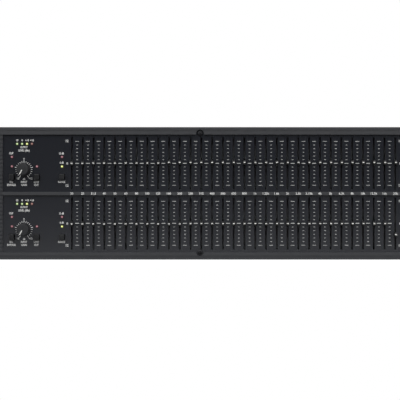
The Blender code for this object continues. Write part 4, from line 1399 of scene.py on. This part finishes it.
@dataclass
class Insides:
    """Boards and transformer, which show only through the slots and vents."""

    board: float = 1.6 * MM
    laminate_top: float = 11.8 * MM

    def build(self) -> list[Object]:
        """Dresses each board with mask on its laminate and another finish on what is soldered to it.

        Returns:
            The boards and the transformer.
        """
        made = []
        for node in ("fader_board_1", "fader_board_2", "control_board"):
            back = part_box(node)[1].y - self.board - 0.2 * MM
            in_front = partial(self.lies, axis=1, level=back, above=False)
            made.append(dress(node, [SOLDER_MASK, POT_STEEL], in_front))
        for node in ("main_board", "power_board"):
            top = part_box(node)[0].z + self.laminate_top
            on_top = partial(self.lies, axis=2, level=top, above=True)
            made.append(dress(node, [SOLDER_MASK, PART_BLACK], on_top))
        made.append(dress("transformer", [WINDING_TAPE]))
        return made

    @staticmethod
    def lies(face: bpy.types.MeshPolygon, axis: int, level: float, above: bool) -> int:
        """Tells which side of a level a face lies on.

        Args:
            face: The face.
            axis: The axis that the level is on: 0, 1 or 2 for X, Y or Z.
            level: The level.
            above: Whether the higher side counts.

        Returns:
            One if the face's middle lies on the side that counts, else zero.
        """
        middle = face.center[axis]
        return int(middle > level if above else middle < level)


@dataclass
class Studio:
    """A plain pale studio: floor, soft lights, and a camera straight in front of the panel."""

    layout: Layout
    distance: float = 1400.0 * MM
    field: float = 400.68 * MM
    eye: float = 59.6 * MM
    sensor: float = 36.0
    floor_low: tuple[float, float, float] = (-1.2, -0.155, -0.004)
    floor_high: tuple[float, float, float] = (1.2, 1.2, -0.0004)

    def build(self) -> None:
        """Sets up everything that isn't part of the object."""
        self.camera()
        self.world()
        self.floor()
        self.softbox("overhead", (0.0, -1.1, 1.3), (0.0, 0.0, 0.05), (2.2, 1.2), 17.0)
        self.softbox("left_box", (-1.5, -1.3, 0.9), (0.0, 0.0, 0.07), (1.0, 1.2), 11.0)
        self.softbox("right_box", (1.5, -1.3, 0.9), (0.0, 0.0, 0.07), (1.0, 1.2), 11.0)
        self.softbox("rear_box", (0.0, 1.6, 1.2), (0.0, 0.1, 0.05), (2.0, 1.0), 14.0)
        self.softbox("low_fill", (0.0, -1.7, -0.13), (0.0, 0.0, 0.0), (1.8, 0.14), 1.5)
        bpy.context.scene.view_settings.view_transform = "Standard"

    def camera(self) -> None:
        """The camera, level and square to the panel."""
        data = bpy.data.cameras.new("camera")
        data.sensor_width = self.sensor
        data.lens = self.sensor * self.distance / self.field
        made = bpy.data.objects.new("camera", data)
        made.location = (0.0, self.layout.floor - self.distance, self.eye)
        made.rotation_euler = (math.pi / 2, 0.0, 0.0)
        bpy.context.scene.collection.objects.link(made)
        bpy.context.scene.camera = made

    def world(self) -> None:
        """A world that is white to the eye, and to the object a soft glow, weaker than the lights."""
        world = bpy.data.worlds.new("studio")
        world.use_nodes = True
        tree = world.node_tree
        tree.nodes.clear()
        direction = add_node(tree, "ShaderNodeTexCoord")
        parts = add_node(tree, "ShaderNodeSeparateXYZ", {}, {0: direction.outputs["Generated"]})
        glow = add_node(
            tree, "ShaderNodeMapRange", {"From Min": 0.1, "From Max": 0.7, "To Min": 0.06, "To Max": 0.3},
            {"Value": parts.outputs["Z"]},
        )
        seen = add_node(tree, "ShaderNodeBackground", {"Color": (1.0, 1.0, 1.0, 1.0), "Strength": 1.0})
        felt = add_node(tree, "ShaderNodeBackground", {"Color": (0.95, 0.97, 1.0, 1.0)},
                        {"Strength": glow.outputs[0]})
        path = add_node(tree, "ShaderNodeLightPath")
        both = add_node(tree, "ShaderNodeMixShader", {},
                        {0: path.outputs["Is Camera Ray"], 1: felt.outputs[0], 2: seen.outputs[0]})
        add_node(tree, "ShaderNodeOutputWorld", {}, {"Surface": both.outputs[0]})
        bpy.context.scene.world = world

    def floor(self) -> None:
        """A pale floor just under the object, which ends close in front of it."""
        blank = Blank()
        blank.box(self.floor_low, self.floor_high, Matrix.Identity(4))
        mesh = bpy.data.meshes.new("floor")
        blank.mesh.to_mesh(mesh)
        blank.mesh.free()
        made = bpy.data.objects.new("floor", mesh)
        bpy.context.scene.collection.objects.link(made)
        material = bpy.data.materials.new("pale_floor")
        material.use_nodes = True
        tree = material.node_tree
        tree.nodes.clear()
        path = add_node(tree, "ShaderNodeLightPath")
        lift = add_node(tree, "ShaderNodeMath", {"operation": "MULTIPLY", 1: 0.9},
                        {0: path.outputs["Is Camera Ray"]})
        shader = add_node(tree, "ShaderNodeBsdfPrincipled", {
            "Base Color": linear("a8a8a8"), "Roughness": 0.9, "Specular IOR Level": 0.1,
            "Emission Color": (1.0, 1.0, 1.0, 1.0),
        }, {"Emission Strength": lift.outputs[0]})
        add_node(tree, "ShaderNodeOutputMaterial", {}, {"Surface": shader.outputs[0]})
        mesh.materials.append(material)

    def softbox(
        self, name: str, place: Sequence[float], aim: Sequence[float], size: Sequence[float], power: float,
    ) -> None:
        """Adds a rectangular light.

        Args:
            name: The light's name.
            place: Where it stands.
            aim: The point that it faces.
            size: Its width and height.
            power: Its power in watts.
        """
        data = bpy.data.lights.new(name, "AREA")
        data.shape = "RECTANGLE"
        data.size, data.size_y = size
        data.energy = power
        made = bpy.data.objects.new(name, data)
        made.location = place
        made.rotation_euler = (Vector(aim) - Vector(place)).to_track_quat("-Z", "Y").to_euler()
        bpy.context.scene.collection.objects.link(made)


def main() -> None:
    """Builds the studio and every sub-assembly in order, and reports each piece."""
    logging.basicConfig(level=logging.INFO, format="%(name)s: %(message)s")
    layout = Layout()
    Studio(layout).build()
    assemblies = [Panel(layout), FaderField(layout)]
    for channel in CHANNELS:
        assemblies += [GainKnob(layout, channel), Controls(layout, channel)]
    assemblies += [Case()]
    assemblies += [RoundConnector(f"{way}_{channel}") for channel in CHANNELS for way in ("input", "output")]
    assemblies += [Rear(), Insides()]
    for assembly in assemblies:
        for piece in assembly.build():
            report.info("%s: %s", type(assembly).__name__, piece.name)


if __name__ == "__main__":
    main()
